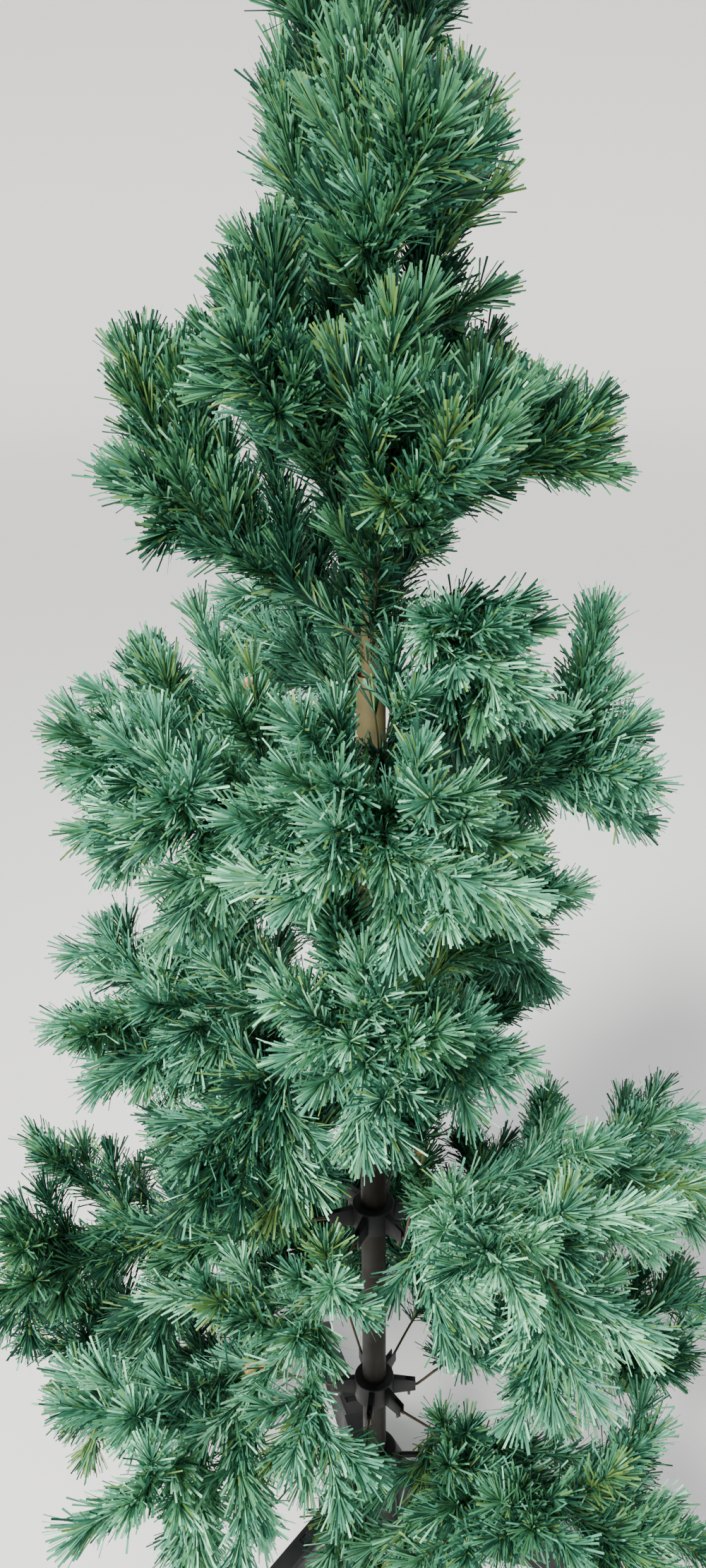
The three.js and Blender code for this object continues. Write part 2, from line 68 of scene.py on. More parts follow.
# The stage in metres, and its lamps: kind, name, place, target, size (the sun's in degrees), power, colour
FLOOR_SIZE = 44
BACKDROP_HEIGHT = 16
BACKDROP_BEND = 6
FLOOR_COLOUR = (0.86, 0.85, 0.83)
WORLD_COLOUR = (0.93, 0.95, 1.0, 1)
WORLD_STRENGTH = 0.31
LAMPS = (("SUN", "daylight", (-1.7, -2.6, 3.1), (0, 0, 0), 14, 4.5, (1.0, 0.99, 0.97)),
         ("AREA", "key", (-1.7, -2.6, 3.1), (0, 0, 1.1), 1.6, 240, (1.0, 0.98, 0.95)),
         ("AREA", "fill", (2.4, -1.8, 1.6), (0, 0, 0.9), 1.8, 40, (0.93, 0.97, 1.0)),
         ("AREA", "rim", (1.2, 2.6, 3.4), (0, 0, 1.2), 1.6, 60, (0.96, 0.98, 1.0)))

# Looks with a speckle: name, brightness of the blotches, roughness, blotch and grain scale, bump, specular
SPECKLED_LOOKS = {
    "plastic": ("black_plastic", 1.7, (0.44, 0.66), (26, 1400), 0.25, 0.3),
    "pole": ("pole_paint", 1.5, (0.44, 0.64), (34, 1100), 0.3, 0.22),
    # The pole's foot: painted shade, a near-black look for the lowest section, which lies in shadow
    "foot": ("foot_paint", 1.5, (0.44, 0.64), (34, 1100), 0.3, 0.22),
    "wire": ("brown_wire_paint", 1.8, (0.40, 0.60), (160, 1600), 0.3, 0.5),
    "tape": ("tan_tape", 0.55, (0.45, 0.7), (180, 1500), 0.3, 0.5),
}
BLOTCH_DETAIL = 6
BLOTCH_LIMITS = (0.35, 0.65)
BLOTCH_HEIGHT = 0.35
GRAIN_DETAIL = 2
BUMP_DISTANCE = 0.0006

# Pole
POLE_RADIUS = 16
POLE_JOINT_HEIGHT = 700
POLE_SHOULDER_HEIGHT = 1290
POLE_TOP_HEIGHT = 1860
POLE_WALL = 1.2
SWAGE_RADIUS = 17.5
SWAGE_LENGTH = 45
SWAGE_SLOPE = 3
ROD_FOOT_RADIUS = 10
ROD_TIP_RADIUS = 6
GAP = 0.3
NEAR = 0.1
TUBE_OPENING = 40
TUBE_LIP = 0.5
ROD_EDGE = 1.5
POLE_SIDES = 48
ROD_SIDES = 32

# Stand
HUB_RADIUS = 46
HUB_HEIGHT = 150
HUB_FLOOR = 12
HUB_NECK_RADIUS = 30
SLEEVE_REACH = 92
SLEEVE_WALL = 6
SLEEVE_HEIGHT = 112
LEG_AZIMUTHS = (105, 225, 345)
LEG_WIDTH = 30
LEG_INNER_HEIGHT = 100
LEG_OUTER_HEIGHT = 38
LEG_START = 52
LEG_REACH = 345
LEG_NOSE = 14
NOTCH_START = 128
NOTCH_LENGTH = 12
NOTCH_WIDTH = 16
NOTCH_FLOOR = 86
SCREW_HEIGHT = 133
SCREW_REACH = 62
SCREW_RADIUS = 4
KNOB_RADIUS = 12
KNOB_THICKNESS = 7
KNOB_SIDES = 32
# Each corner of the knob that is a multiple of this lies in a flute, at this share of its radius
FLUTE_STEP = 4
FLUTE_SHARE = 0.84
SCREW_SIDES = 20
# The recessed panel on each side of a leg
PANEL_RIM = 7
PANEL_DEPTH = 2
HUB_EDGE = 1.4
LEG_EDGE = 1.2
SMALL_EDGE = 0.8

# Branch rings
COLLAR_RADIUS = 27
COLLAR_HEIGHT = 34
ARM_START = 20
ARM_REACH = 57
ARM_WIDTH = 8
ARM_INNER_HEIGHT = 30
ARM_OUTER_HEIGHT = 18
SLOT_WIDTH = 4.4
SLOT_LENGTH = 14
COLLAR_EDGE = 1.6
# The hooked root of a wire in its slot, and the root of one that is wound on to the pole
HOOK_SETBACK = 5
HOOK_DEPTH = 19
HOOK_BEND = 4
HOOK_LEAD = 3
ROOT_SINK = 2
ROOT_DROP = 26
ROOT_BEND = 5
LEADER_SINK = 20
WIRE_TAPER = 0.45

# The growth rule
WIRE_ROOT_RADIUS = 3.4
WIRE_STEPS = 2
STEM_RADIUS = 4
STEM_SIDES = 3
TWIG_OVERLAP = 20
SHORT_BOUGH = 200
BRUSH_START = 8
BRUSH_STEPS = 4
TIP_RADIUS = 32
BOUGH_RADIUS = 22
COLUMN_RADIUS = 22
PATH_STEPS = 8
TIP_STEPS = 3
FIRST_TIP = 0.16
LAST_TIP = 0.88
TIP_SETBACK = 26
PLACE_SHIFT = 0.6
TILTS = (28, -14, 6, -30, 40)
STEEPEST = 86
ANGLE_SPREAD = (0.7, 1.3)
SHORTEST_TIP = 62
LONGEST_TIP = 190
TIP_SHARE = 0.62
LENGTH_SPREAD = (0.85, 1.15)
CURLS = (-6.6, 15.4)
FITS = ((1, 1), (0.8, 1), (0.85, 0.75), (0.62, 0.75), (0.6, 0.55))
CLEAR = 2
LOWEST_TIP = 40
SEED = 1000
SEED_STEP = 77


def tier_row(name, height, bare, radius, boughs, ring=False, wire=False):
    """A tier of boughs: its height, how far each bough is bare, and the room that each tip takes up."""
    return {"name": name, "height": height, "bare": bare, "radius": radius, "boughs": boughs,
            "ring": ring, "wire": wire}


# Azimuth, swing, rise and lift at the end, length, tips, spread and lean of each bough,
# and where it has them, extra tips: their place along the bough, opening, tilt and length
TIERS = (
    tier_row("tier1", 270, 50, TIP_RADIUS, {
        "right": (0, -4, 50, -40, 370, 5, 34, 0, (0.4, -30, -60, 120), (0.12, -30, 70, 110),
                  (0.75, 10, 60, 130)),
        "front_right": (-50, 14, 20, -2, 400, 8, 46, 0, (0.16, -60, -24, 160), (0.3, -50, -20, 150)),
        "front_left": (-98, 4, -18, -40, 130, 2, 20, 0),
        "left": (180, -12, 18, -10, 385, 6, 20, 0),
        "rear_left": (108, -10, 12, 4, 300, 8, 44, 0, (0.25, -30, 60, 120), (0.4, 0, -30, 110)),
        "rear_right": (60, -24, 16, 0, 360, 8, 42, 0, (0.2, 30, 40, 120)),
    }, ring=True, wire=True),
    tier_row("tier2", 570, 50, TIP_RADIUS, {
        "left": (190, -14, 2, -14, 410, 8, 40, -14, (0.72, 24, 46, 120)),
        "front_left": (246, -26, -12, 4, 420, 6, 36, 0, (0.2, 40, 60, 120), (0.7, 16, -64, 150)),
        "front_right": (310, 0, 88, -74, 400, 8, 44, 0, (0.34, -14, -96, 150), (0.14, -30, -80, 190)),
        "right": (10, 10, 6, -8, 400, 8, 38, -14, (0.4, -6, 86, 130), (0.6, -20, -80, 150),
                  (0.8, 6, -70, 150)),
        "rear_right": (70, -2, 34, 6, 360, 8, 44, 0, (0.3, 20, -80, 150), (0.6, 0, -70, 140)),
        "rear_left": (130, -4, 34, 6, 360, 8, 42, 0, (0.2, -96, 16, 120), (0.3, -30, -80, 150)),
    }, ring=True, wire=True),
    tier_row("tier3", 860, 45, TIP_RADIUS, {
        "left": (182, -4, 20, -14, 252, 6, 30, -8, (0.15, -60, 20, 130), (0.35, -50, 40, 120)),
        "front_left": (214, 0, -10, -58, 185, 6, 34, 0, (0.45, 70, -20, 130)),
        "front": (262, 6, 44, 28, 250, 6, 38, 0, (0.5, 16, 40, 130), (0.4, 10, -84, 110)),
        "right": (298, -4, 42, 20, 112, 5, 30, 0, (0.5, 0, -90, 110)),
        "rear_right": (38, -4, 34, 26, 212, 7, 32, -4, (0.75, 10, -80, 110), (0.3, 60, -50, 140),
                       (0.4, 50, 10, 140)),
        "rear_left": (112, 0, 48, 20, 300, 6, 34, 0, (0.45, 60, -30, 120), (0.25, 60, -30, 120),
                      (0.3, -20, -80, 150)),
    }, ring=True),
    tier_row("tier4", 1165, 45, TIP_RADIUS, {
        "left": (174, 4, 18, -4, 240, 7, 32, -8, (0.6, -6, 62, 110), (0.42, -10, 80, 130)),
        "front_left": (214, 4, 20, -18, 205, 7, 40, 0, (0.6, 10, -70, 110), (0.35, -10, 75, 130)),
        "front": (272, 0, 34, -14, 240, 8, 46, -8, (0.5, 10, -64, 120), (0.6, 34, -70, 120),
                  (0.2, 60, 56, 120)),
        "right": (352, 4, -14, 58, 204, 5, 20, -20, (0.2, 165, 62, 110), (0.92, 0, 40, 90)),
        "rear_right": (40, 0, -10, -6, 175, 4, 30, -20, (0.4, 40, -60, 130), (0.4, 60, 10, 140)),
        "rear_left": (106, 0, 42, 16, 290, 6, 28, 0, (0.6, 50, -40, 130), (0.3, -30, -80, 150),
                      (0.3, 20, -60, 140)),
    }, ring=True),
    tier_row("tier5", 1330, 45, TIP_RADIUS, {
        "left": (176, 2, 34, 54, 300, 6, 28, 6, (0.85, 12, 20, 110)),
        "front": (276, 0, 58, 70, 280, 6, 30, -6, (0.14, 52, -84, 100)),
        "front_right": (320, -8, 56, -50, 134, 6, 18, -12),
        "rear_right": (52, 0, 50, 62, 290, 6, 34, -6, (0.3, 50, -50, 130), (0.5, 50, -10, 130)),
    }),
    tier_row("tier6", 1420, 45, TIP_RADIUS, {
        "front_left": (222, -4, 54, 68, 245, 6, 30, 0),
        "right": (358, 2, 38, 30, 200, 3, 14, -10, (0.56, 12, -12, 90), (0.3, -20, 40, 110)),
        "rear_left": (116, 0, 56, 52, 280, 6, 34, -6, (0.3, -30, -50, 130), (0.5, -50, 0, 130)),
    }),
    tier_row("tier7", 1520, 50, COLUMN_RADIUS, {
        "front": (268, 0, 62, 92, 290, 6, 36, -4),
        "right": (10, 0, 64, 92, 280, 6, 12, 24, (0.24, 30, -10, 100)),
        "left": (150, 0, 70, 94, 290, 6, 12, 21),
    }),
    tier_row("tier8", 1700, 45, COLUMN_RADIUS, {
        "left": (215, 0, 66, 92, 250, 6, 28, 2),
        "right": (44, 0, 66, 90, 250, 6, 34, -2, (0.3, -12, -24, 120)),
    }),
)
LEADER = tier_row("leader", POLE_TOP_HEIGHT + GAP, 4, COLUMN_RADIUS, {"": (0, 0, 89, 90, 215, 4, 90, -34)})

# Above this height the tips are drawn together, and their needles lie closer along them
UPPER_FROM = 1300

# The rule carried on to finer twigs, which end no further than this from their bough's own tips
SPRIG_SEED = 5000
SPRIG_REACH = 46
SPRIG_SPACING = 27
UPPER_SPRIG_SPACING = 20
REAR_SPRIG_SPACING = 19
SPRIG_PLACES = (0.04, 0.80)
SPRIG_OPENINGS = (24, 62)
SPRIG_TILTS = (-40, 40)
SPRIG_LENGTHS = (44, 84)
PATH_SMOOTH = 3
# Where the needles start on a bough that has no bare wire
ROOT_START = 6

# Tape wound round the wire: the bough, which of its tips, and the place along that tip
TAPES = (("tier2_front_left", 2, 0.15), ("tier4_front_left", 7, 0.95), ("tier4_front_left", 8, 0.92),
         ("tier2_front_right", 0, 0.45), ("tier2_front_right", 1, 0.12), ("tier2_right", 10, 0.95),
         ("tier1_front_right", 2, 0.12), ("tier4_right", 1, 0.10), ("tier3_rear_left", 1, 0.12),
         ("tier2_rear_right", 1, 0.12), ("tier1_left", 2, 0.12))
TAPE_LENGTH = 26
TAPE_RADIUS = 5.5
TAPE_SIDES = 14
TAPE_EDGE = 0.5
# How narrow a winding's ends and how wide its ridges are, the slant of its turns, and a turn's share of
# half its length
TAPE_ENDS = 0.5
TAPE_RIDGES = 1.14
TAPE_SLANT = 0.25
TAPE_TURN = 0.3
# How far along the tip, each way, the wire's direction is taken
TAPE_REACH = 0.04

# Twigs
TWIG_SIDES = 5
TWIG_TAPER = 0.7
TWIG_SMOOTH = 2

# Needles
NEEDLE_TWIST = math.radians(38)
ROOT_WIDTH = 0.75
NEEDLE_WIDTHS = (0.75, 1.25)
NEEDLE_LENGTHS = (0.66, 1.12)
PIECE_NEEDLES = 95000
FAN_NEEDLES = 40
FAN_SHARE = 0.82
RAKE_SCATTER = 13
RAKE_LIMITS = (2, 80)
REACH_SPREAD = (0.86, 1.06)
# A direction counts as upright where its level part is smaller than this
UPRIGHT = 0.05
# How far the needles stand off their wire in degrees, along it and in the fan at its end
RAKES = {"tip": (22, 44), "bough": (24, 46), "upper": (14, 34), "wrap": (20, 42)}
FAN_RAKES = {"tip": (2, 40), "bough": (2, 40), "upper": (0, 28), "wrap": (0, 1)}
# The share of short needles near the wire, which stand out further and look yellower
INNER_SHARE = 0.2
INNER_LENGTHS = (0.3, 0.5)
INNER_RAKE = 18
TIP_NEEDLE_REACH = 38
COLUMN_NEEDLE_REACH = 34
BOUGH_NEEDLE_REACH = 36
WRAP_REACH = 27
WRAP_START = 1292
# The bare stretch of the pole, as the camera sees it
BARE_HEIGHTS = (1204, 1264)
BARE_WIDTH = 46
MAIN_SHARE = 0.42
# The pale tone is a painted highlight
TONES = ("deep", "teal", "green", "olive", "pale")
# Shares of the tones in the lower, middle and upper crown, on the wrapped pole and near the wires
LOW_MIX = (0.27, 0.32, 0.32, 0.05, 0.04)
MIDDLE_MIX = (0.14, 0.46, 0.19, 0.03, 0.18)
HIGH_MIX = (0.26, 0.18, 0.42, 0.08, 0.06)
WRAP_MIX = (0.34, 0.06, 0.30, 0.28, 0.02)
ROOT_MIX = (0.36, 0.24, 0.26, 0.12, 0.02)
INNER_MIX = (0.28, 0.12, 0.30, 0.28, 0.02)
# Painted shade: the darkest mix, dealt near the pole where the crown lies in shadow
PAINTED_SHADE_CORE_MIX = (0.70, 0.06, 0.19, 0.05, 0.00)
# Painted light: a paler mix, with more pale needles, for the boughs that catch the light
PAINTED_LIGHT_MIX = (0.10, 0.38, 0.22, 0.05, 0.25)
# Painted shade: a darker mix for the boughs that lie in shadow
PAINTED_SHADE_BOUGH_MIX = (0.48, 0.17, 0.28, 0.05, 0.02)
PAINTED_LIGHT_BOUGHS = ("tier2_front_right", "tier2_right", "tier2_front_left", "tier3_front", "tier4_front")
PAINTED_SHADE_BOUGHS = ("tier1_left", "tier2_left", "tier3_front_left", "tier1_rear_left", "tier1_rear_right")
# How far from the pole the painted shade of the core reaches, up to HIGH_HEIGHT and above it
CORE_REACH = 118
UPPER_CORE_REACH = 62
MIDDLE_HEIGHT = 800
HIGH_HEIGHT = 1400


# The growth rule: seeded dice, headings and bent paths


class Dice:
    """Even numbers from 0 to 1, the same run of them for the same seed."""

    def __init__(self, seed):
        self.state = seed & 0xFFFFFFFF

    def roll(self):
        self.state = (self.state + 0x6D2B79F5) & 0xFFFFFFFF
        t = self.state
        t = ((t ^ (t >> 15)) * (t | 1)) & 0xFFFFFFFF
        t ^= (t + ((t ^ (t >> 7)) * (t | 61))) & 0xFFFFFFFF
        t &= 0xFFFFFFFF
        return (t ^ (t >> 14)) / 4294967296

    def between(self, limits):
        return limits[0] + (limits[1] - limits[0]) * self.roll()


def heading(azimuth, elevation):
    a, e = math.radians(azimuth), math.radians(elevation)
    return np.array([math.cos(e) * math.cos(a), math.cos(e) * math.sin(a), math.sin(e)])


def upright(foot, head):
    """A stretch of the pole's axis."""
    return np.array([[0, 0, foot], [0, 0, head]], float)


def bent_path(start, azimuth, swing, rise, lift, length, steps):
    points = [np.array(start, float)]
    for i in range(steps):
        t = (i + 0.5) / steps
        way = heading(azimuth + swing * t, rise + (lift - rise) * t)
        points.append(points[-1] + way * (length / steps))
    return np.array(points)


def along(points, t):
    place = min(max(t, 0), 1) * (len(points) - 1)
    i = min(int(place), len(points) - 2)
    return points[i] + (points[i + 1] - points[i]) * (place - i)


def part_of(points, start, end, steps):
    return np.array([along(points, start + (end - start) * i / steps) for i in range(steps + 1)])


def path_length(points):
    return float(np.linalg.norm(np.diff(points, axis=0), axis=1).sum())


def smooth_path(points, steps):
    """The path with every stretch cut in steps and rounded through its points."""
    ends = np.vstack([2 * points[0] - points[1], points, 2 * points[-1] - points[-2]])
    made = []
    for i in range(1, len(ends) - 2):
        p, q, r, s = ends[i - 1 : i + 3]
        for t in np.arange(steps) / steps:
            bend = (2 * p - 5 * q + 4 * r - s) * t**2 + (3 * q - p - 3 * r + s) * t**3
            made.append(0.5 * (2 * q + (r - p) * t + bend))
    return np.array([*made, points[-1]])


def segment_gaps(p, q, a, b):
    """Distance from the segment p to q to each of the segments a to b."""
    d1, d2, r = q - p, b - a, p - a
    one, two, both = d1 @ d1, (d2 * d2).sum(1), d2 @ d1
    c, f = r @ d1, (d2 * r).sum(1)
    spread = one * two - both * both
    s = np.where(spread > 1e-9, np.clip((both * f - c * two) / np.where(spread > 1e-9, spread, 1), 0, 1), 0)
    t = (both * s + f) / two
    s = np.where(t < 0, np.clip(-c / one, 0, 1), np.where(t > 1, np.clip((both - c) / one, 0, 1), s))
    t = np.clip(t, 0, 1)
    return np.linalg.norm(p + d1 * s[:, None] - a - d2 * t[:, None], axis=1)


class Taken:
    """The segments that are already spoken for, with their radius and owner."""

    def __init__(self):
        self.rows = []

    def add(self, path, radius, owner):
        self.rows += [(start, end, radius, owner) for start, end in zip(path[:-1], path[1:])]

    def clear_of(self, path, radius, owner):
        others = zip(*(row[:3] for row in self.rows if row[3] != owner))
        starts, ends, radii = (np.array(column) for column in others)
        room = radii + radius + CLEAR
        return all((segment_gaps(p, q, starts, ends) > room).all() for p, q in zip(path[:-1], path[1:]))


def list_boughs():
    rows = []
    for tier in (*TIERS, LEADER):
        for side, shape in tier["boughs"].items():
            name = f"{tier['name']}_{side}" if side else tier["name"]
            rows.append({"tier": tier, "shape": shape, "name": name, "number": len(rows)})
    return rows


def rod_radius(height):
    share = (height - POLE_SHOULDER_HEIGHT) / (POLE_TOP_HEIGHT - POLE_SHOULDER_HEIGHT)
    return ROD_FOOT_RADIUS + (ROD_TIP_RADIUS - ROD_FOOT_RADIUS) * share


def stem_of(bough):
    azimuth, swing, rise, lift, length = bough["shape"][:5]
    tier = bough["tier"]
    face = ARM_REACH if tier["ring"] else rod_radius(tier["height"])
    origin = np.array([0, 0, tier["height"]], float)
    path = bent_path(origin, azimuth, swing, rise, lift, length, PATH_STEPS)
    if tier is LEADER:
        return path
    reach = tier["bare"] / WIRE_STEPS if bough["wire"] else tier["bare"] + TWIG_OVERLAP
    root = along(path, reach / length) - origin
    slope = root[2] / np.linalg.norm(root)
    twig_corner = STEM_RADIUS * math.cos(math.pi / STEM_SIDES) if slope > 0 else STEM_RADIUS
    corner = WIRE_ROOT_RADIUS if bough["wire"] else twig_corner
    return path + heading(azimuth, 0) * (face + GAP + corner * abs(slope))


def wanted_tips(bough):
    length, tips, spread, lean = bough["shape"][4:8]
    dice = Dice(SEED + SEED_STEP * bough["number"])
    first = max(FIRST_TIP, bough["bare"] + TIP_SETBACK / length)
    wanted = []
    for i in range(tips):
        place = first + ((LAST_TIP - first) * (i + PLACE_SHIFT * dice.roll())) / tips
        opening = (1 if i % 2 else -1) * spread * dice.between(ANGLE_SPREAD)
        tilt = lean + TILTS[i % len(TILTS)] * dice.between(ANGLE_SPREAD)
        whole = min(LONGEST_TIP, SHORTEST_TIP + (1 - place) * length * TIP_SHARE)
        long = whole * dice.between(LENGTH_SPREAD)
        wanted.append((place, opening, tilt, long, dice.between(CURLS)))
    for place, opening, tilt, long in bough["shape"][8:]:
        wanted.append((place, opening, tilt, long, 0))
    return wanted


def tip_path(bough, tip):
    azimuth, swing, rise, lift = bough["shape"][:4]
    place, opening, tilt, long, curl = tip
    elevation = min(rise + (lift - rise) * place + tilt, STEEPEST)
    side = azimuth + swing * place + opening
    return bent_path(along(bough["stem"], place), side, 0, elevation, elevation + curl, long, TIP_STEPS)


def place_tips(bough, taken):
    radius = bough["tier"]["radius"]
    for tip in wanted_tips(bough):
        whole = tip_path(bough, tip)
        for cut, thin in FITS:
            path = whole[0] + (whole - whole[0]) * cut
            if path[:, 2].min() < LOWEST_TIP + radius * thin:
                continue
            if taken.clear_of(path, radius * thin, bough["name"]):
                bough["tips"].append(path)
                taken.add(path, radius * thin, bough["name"])
                break


def grow_sprigs(bough):
    """Finer tips on the bough and its tips, kept where they end inside the reach of their bough."""
    dice = Dice(SPRIG_SEED + SEED_STEP * bough["number"])
    hosts = (bough["brush"], *bough["tips"])
    starts = np.vstack([path[:-1] for path in hosts])
    ends = np.vstack([path[1:] for path in hosts])
    side = 1
    spacing = UPPER_SPRIG_SPACING if bough["tier"]["height"] > UPPER_FROM else SPRIG_SPACING
    if "rear" in bough["name"]:
        spacing = REAR_SPRIG_SPACING
    for host in hosts:
        for _ in range(round(path_length(host) / spacing)):
            side = -side
            place = dice.between(SPRIG_PLACES)
            way = host[-1] - host[0]
            azimuth = math.degrees(math.atan2(way[1], way[0])) + side * dice.between(SPRIG_OPENINGS)
            level = math.degrees(math.atan2(way[2], math.hypot(way[0], way[1])))
            elevation = min(level + dice.between(SPRIG_TILTS), STEEPEST)
            curl, long = dice.between(CURLS), dice.between(SPRIG_LENGTHS)
            path = bent_path(along(host, place), azimuth, 0, elevation, elevation + curl, long, TIP_STEPS)
            near = segment_gaps(path[-1] - 0.01, path[-1], starts, ends).min()
            high = path[:, 2].min() > LOWEST_TIP + TIP_RADIUS
            off_pole = np.hypot(path[:, 0], path[:, 1]).min() > ARM_REACH
            if near < SPRIG_REACH and high and off_pole:
                bough["sprigs"].append(path)


@functools.cache
def grow():
    """Every bough with its stem, its tips and its finer sprigs, in millimetres."""
    boughs = list_boughs()
    taken = Taken()
    taken.add(upright(0, POLE_SHOULDER_HEIGHT), SWAGE_RADIUS, "pole")
    taken.add(upright(POLE_SHOULDER_HEIGHT, POLE_TOP_HEIGHT), ROD_FOOT_RADIUS, "pole")
    taken.add(upright(0, HUB_HEIGHT), SLEEVE_REACH, "stand")
    for tier in TIERS:
        if tier["ring"]:
            taken.add(upright(tier["height"] - 1, tier["height"] + 1), ARM_REACH + GAP, "ring")
    for bough in boughs:
        length = bough["shape"][4]
        bough["wire"] = bough["tier"]["wire"] and length > SHORT_BOUGH
        bough["stem"] = stem_of(bough)
        bough["bare"] = bough["tier"]["bare"] / length
        bough["brush"] = part_of(bough["stem"], bough["bare"] + BRUSH_START / length, 1, BRUSH_STEPS)
        bough["tips"], bough["sprigs"] = [], []
        taken.add(bough["brush"], min(bough["tier"]["radius"], BOUGH_RADIUS), bough["name"])
        taken.add(np.array([bough["stem"][0], bough["brush"][0]]), STEM_RADIUS, bough["name"])
    for bough in boughs:
        place_tips(bough, taken)
        grow_sprigs(bough)
    return boughs


# Sizes and colours that a user may change


def length_property(name, description, default):
    return bpy.props.FloatProperty(name=name, description=description, default=default, min=0.0001,
                                   precision=4, unit="LENGTH")


def colour_property(name, description, default):
    return bpy.props.FloatVectorProperty(name=name, description=description, default=default, size=3,
                                         min=0, max=1, subtype="COLOR")


class TreeSizes(bpy.types.PropertyGroup):
    needle_length: length_property("Needle length", "Length of a needle on the boughs and tips", 0.042)
    wrap_length: length_property("Wrap needle length", "Length of a needle wrapped on the pole's top", 0.030)
    needle_width: length_property("Needle width", "Width of a needle at its blunt end", 0.0021)
    needle_count: bpy.props.IntProperty(name="Needles", description="Needles on the whole tree",
                                        default=430000, min=1000, max=450000)
    twig_radius: length_property("Twig radius", "Radius of the twisted wire inside a tip", 0.0013)
    wire_radius: length_property("Bough wire radius", "Radius of a bough's wire at its root", 0.0021)


class TreeColours(bpy.types.PropertyGroup):
    # Deep is partly the darker needles' own colour and partly painted shade: it is made extra dark for the
    # shadow among the needles, and is dealt most near the pole and on the boughs that lie in shadow
    deep: colour_property("Deep needles", "Darkest needles", (0.010, 0.056, 0.032))
    teal: colour_property("Teal needles", "Blue-green needles", (0.076, 0.270, 0.168))
    green: colour_property("Green needles", "Mid-green needles", (0.064, 0.218, 0.098))
    olive: colour_property("Olive needles", "Yellow-green needles near the wires", (0.135, 0.260, 0.068))
    # Pale is a painted highlight: needles made pale where light catches their faces, dealt most on the boughs
    # that catch the light and in the middle crown
    pale: colour_property("Pale needles", "Pale needles that catch the light", (0.275, 0.650, 0.405))
    twig: colour_property("Twigs", "Twisted wire inside the tips", (0.035, 0.050, 0.022))
    wire: colour_property("Bough wires", "Brown paint on the boughs' bare wire", (0.050, 0.034, 0.016))
    pole: colour_property("Pole", "Brown paint on the pole", (0.062, 0.052, 0.022))
    # Painted shade: the pole's lowest section is coloured near-black for the shadow it lies in
    foot: colour_property("Pole's foot", "Painted shade on the pole's lowest section", (0.009, 0.007, 0.004))
    plastic: colour_property("Stand and rings", "Black plastic of stand and rings", (0.006, 0.0065, 0.007))
    tape: colour_property("Tape", "Tan tape where tips are wound on", (0.560, 0.330, 0.110))


# Materials


def set_inputs(node, values):
    for name, value in values.items():
        node.inputs[name].default_value = value


def new_material(name, colour, roughness, specular=0.5):
    look = bpy.data.materials.new(name)
    look.use_nodes = True
    look.diffuse_color = (*colour, 1)
    set_inputs(look.node_tree.nodes["Principled BSDF"],
               {"Base Color": (*colour, 1), "Roughness": roughness, "Specular IOR Level": specular})
    return look


def speckle_group():
    """A shared pattern of blotches and fine grain: a mask from 0 to 1 and a height."""
    if "tree_speckle" in bpy.data.node_groups:
        return bpy.data.node_groups["tree_speckle"]
    group = bpy.data.node_groups.new("tree_speckle", "ShaderNodeTree")
    for name, way in (("Blotch scale", "INPUT"), ("Grain scale", "INPUT"), ("Mask", "OUTPUT"),
                      ("Height", "OUTPUT")):
        group.interface.new_socket(name, in_out=way, socket_type="NodeSocketFloat")
    nodes, links = group.nodes, group.links
    start, end = nodes.new("NodeGroupInput"), nodes.new("NodeGroupOutput")
    place = nodes.new("ShaderNodeTexCoord")
    blotch, grain = nodes.new("ShaderNodeTexNoise"), nodes.new("ShaderNodeTexNoise")
    sharpen, both = nodes.new("ShaderNodeMapRange"), nodes.new("ShaderNodeMath")
    set_inputs(blotch, {"Detail": BLOTCH_DETAIL})
    set_inputs(grain, {"Detail": GRAIN_DETAIL})
    set_inputs(sharpen, {"From Min": BLOTCH_LIMITS[0], "From Max": BLOTCH_LIMITS[1]})
    both.operation = "MULTIPLY_ADD"
    set_inputs(both, {1: BLOTCH_HEIGHT})
    for noise, socket in ((blotch, "Blotch scale"), (grain, "Grain scale")):
        links.new(place.outputs["Object"], noise.inputs["Vector"])
        links.new(start.outputs[socket], noise.inputs["Scale"])
    links.new(blotch.outputs["Fac"], sharpen.inputs["Value"])
    links.new(blotch.outputs["Fac"], both.inputs[0])
    links.new(grain.outputs["Fac"], both.inputs[2])
    links.new(sharpen.outputs["Result"], end.inputs["Mask"])
    links.new(both.outputs["Value"], end.inputs["Height"])
    return group


@functools.cache
def speckled_look(part):
    """Paint, plastic or tape whose colour, gloss and surface vary with the shared speckle."""
    name, worn, roughness, scales, bump, specular = SPECKLED_LOOKS[part]
    colour = getattr(bpy.context.scene.tree_colours, part)
    look = new_material(name, colour, roughness[0], specular)
    nodes, links = look.node_tree.nodes, look.node_tree.links
    shader = nodes["Principled BSDF"]
    speckle = nodes.new("ShaderNodeGroup")
    speckle.node_tree = speckle_group()
    set_inputs(speckle, {"Blotch scale": scales[0], "Grain scale": scales[1]})
    mix, dent = nodes.new("ShaderNodeMix"), nodes.new("ShaderNodeBump")
    gloss = nodes.new("ShaderNodeMapRange")
    mix.data_type = "RGBA"
    set_inputs(mix, {"A": (*colour, 1), "B": (*(min(1.0, channel * worn) for channel in colour), 1)})
    set_inputs(gloss, {"To Min": roughness[0], "To Max": roughness[1]})
    set_inputs(dent, {"Strength": bump, "Distance": BUMP_DISTANCE})
    links.new(speckle.outputs["Mask"], mix.inputs["Factor"])
    links.new(speckle.outputs["Mask"], gloss.inputs["Value"])
    links.new(speckle.outputs["Height"], dent.inputs["Height"])
    links.new(mix.outputs["Result"], shader.inputs["Base Color"])
    links.new(gloss.outputs["Result"], shader.inputs["Roughness"])
    links.new(dent.outputs["Normal"], shader.inputs["Normal"])
    return look


# Modelling helpers: everything is deselected first, and parts of a mesh are picked by place or normal


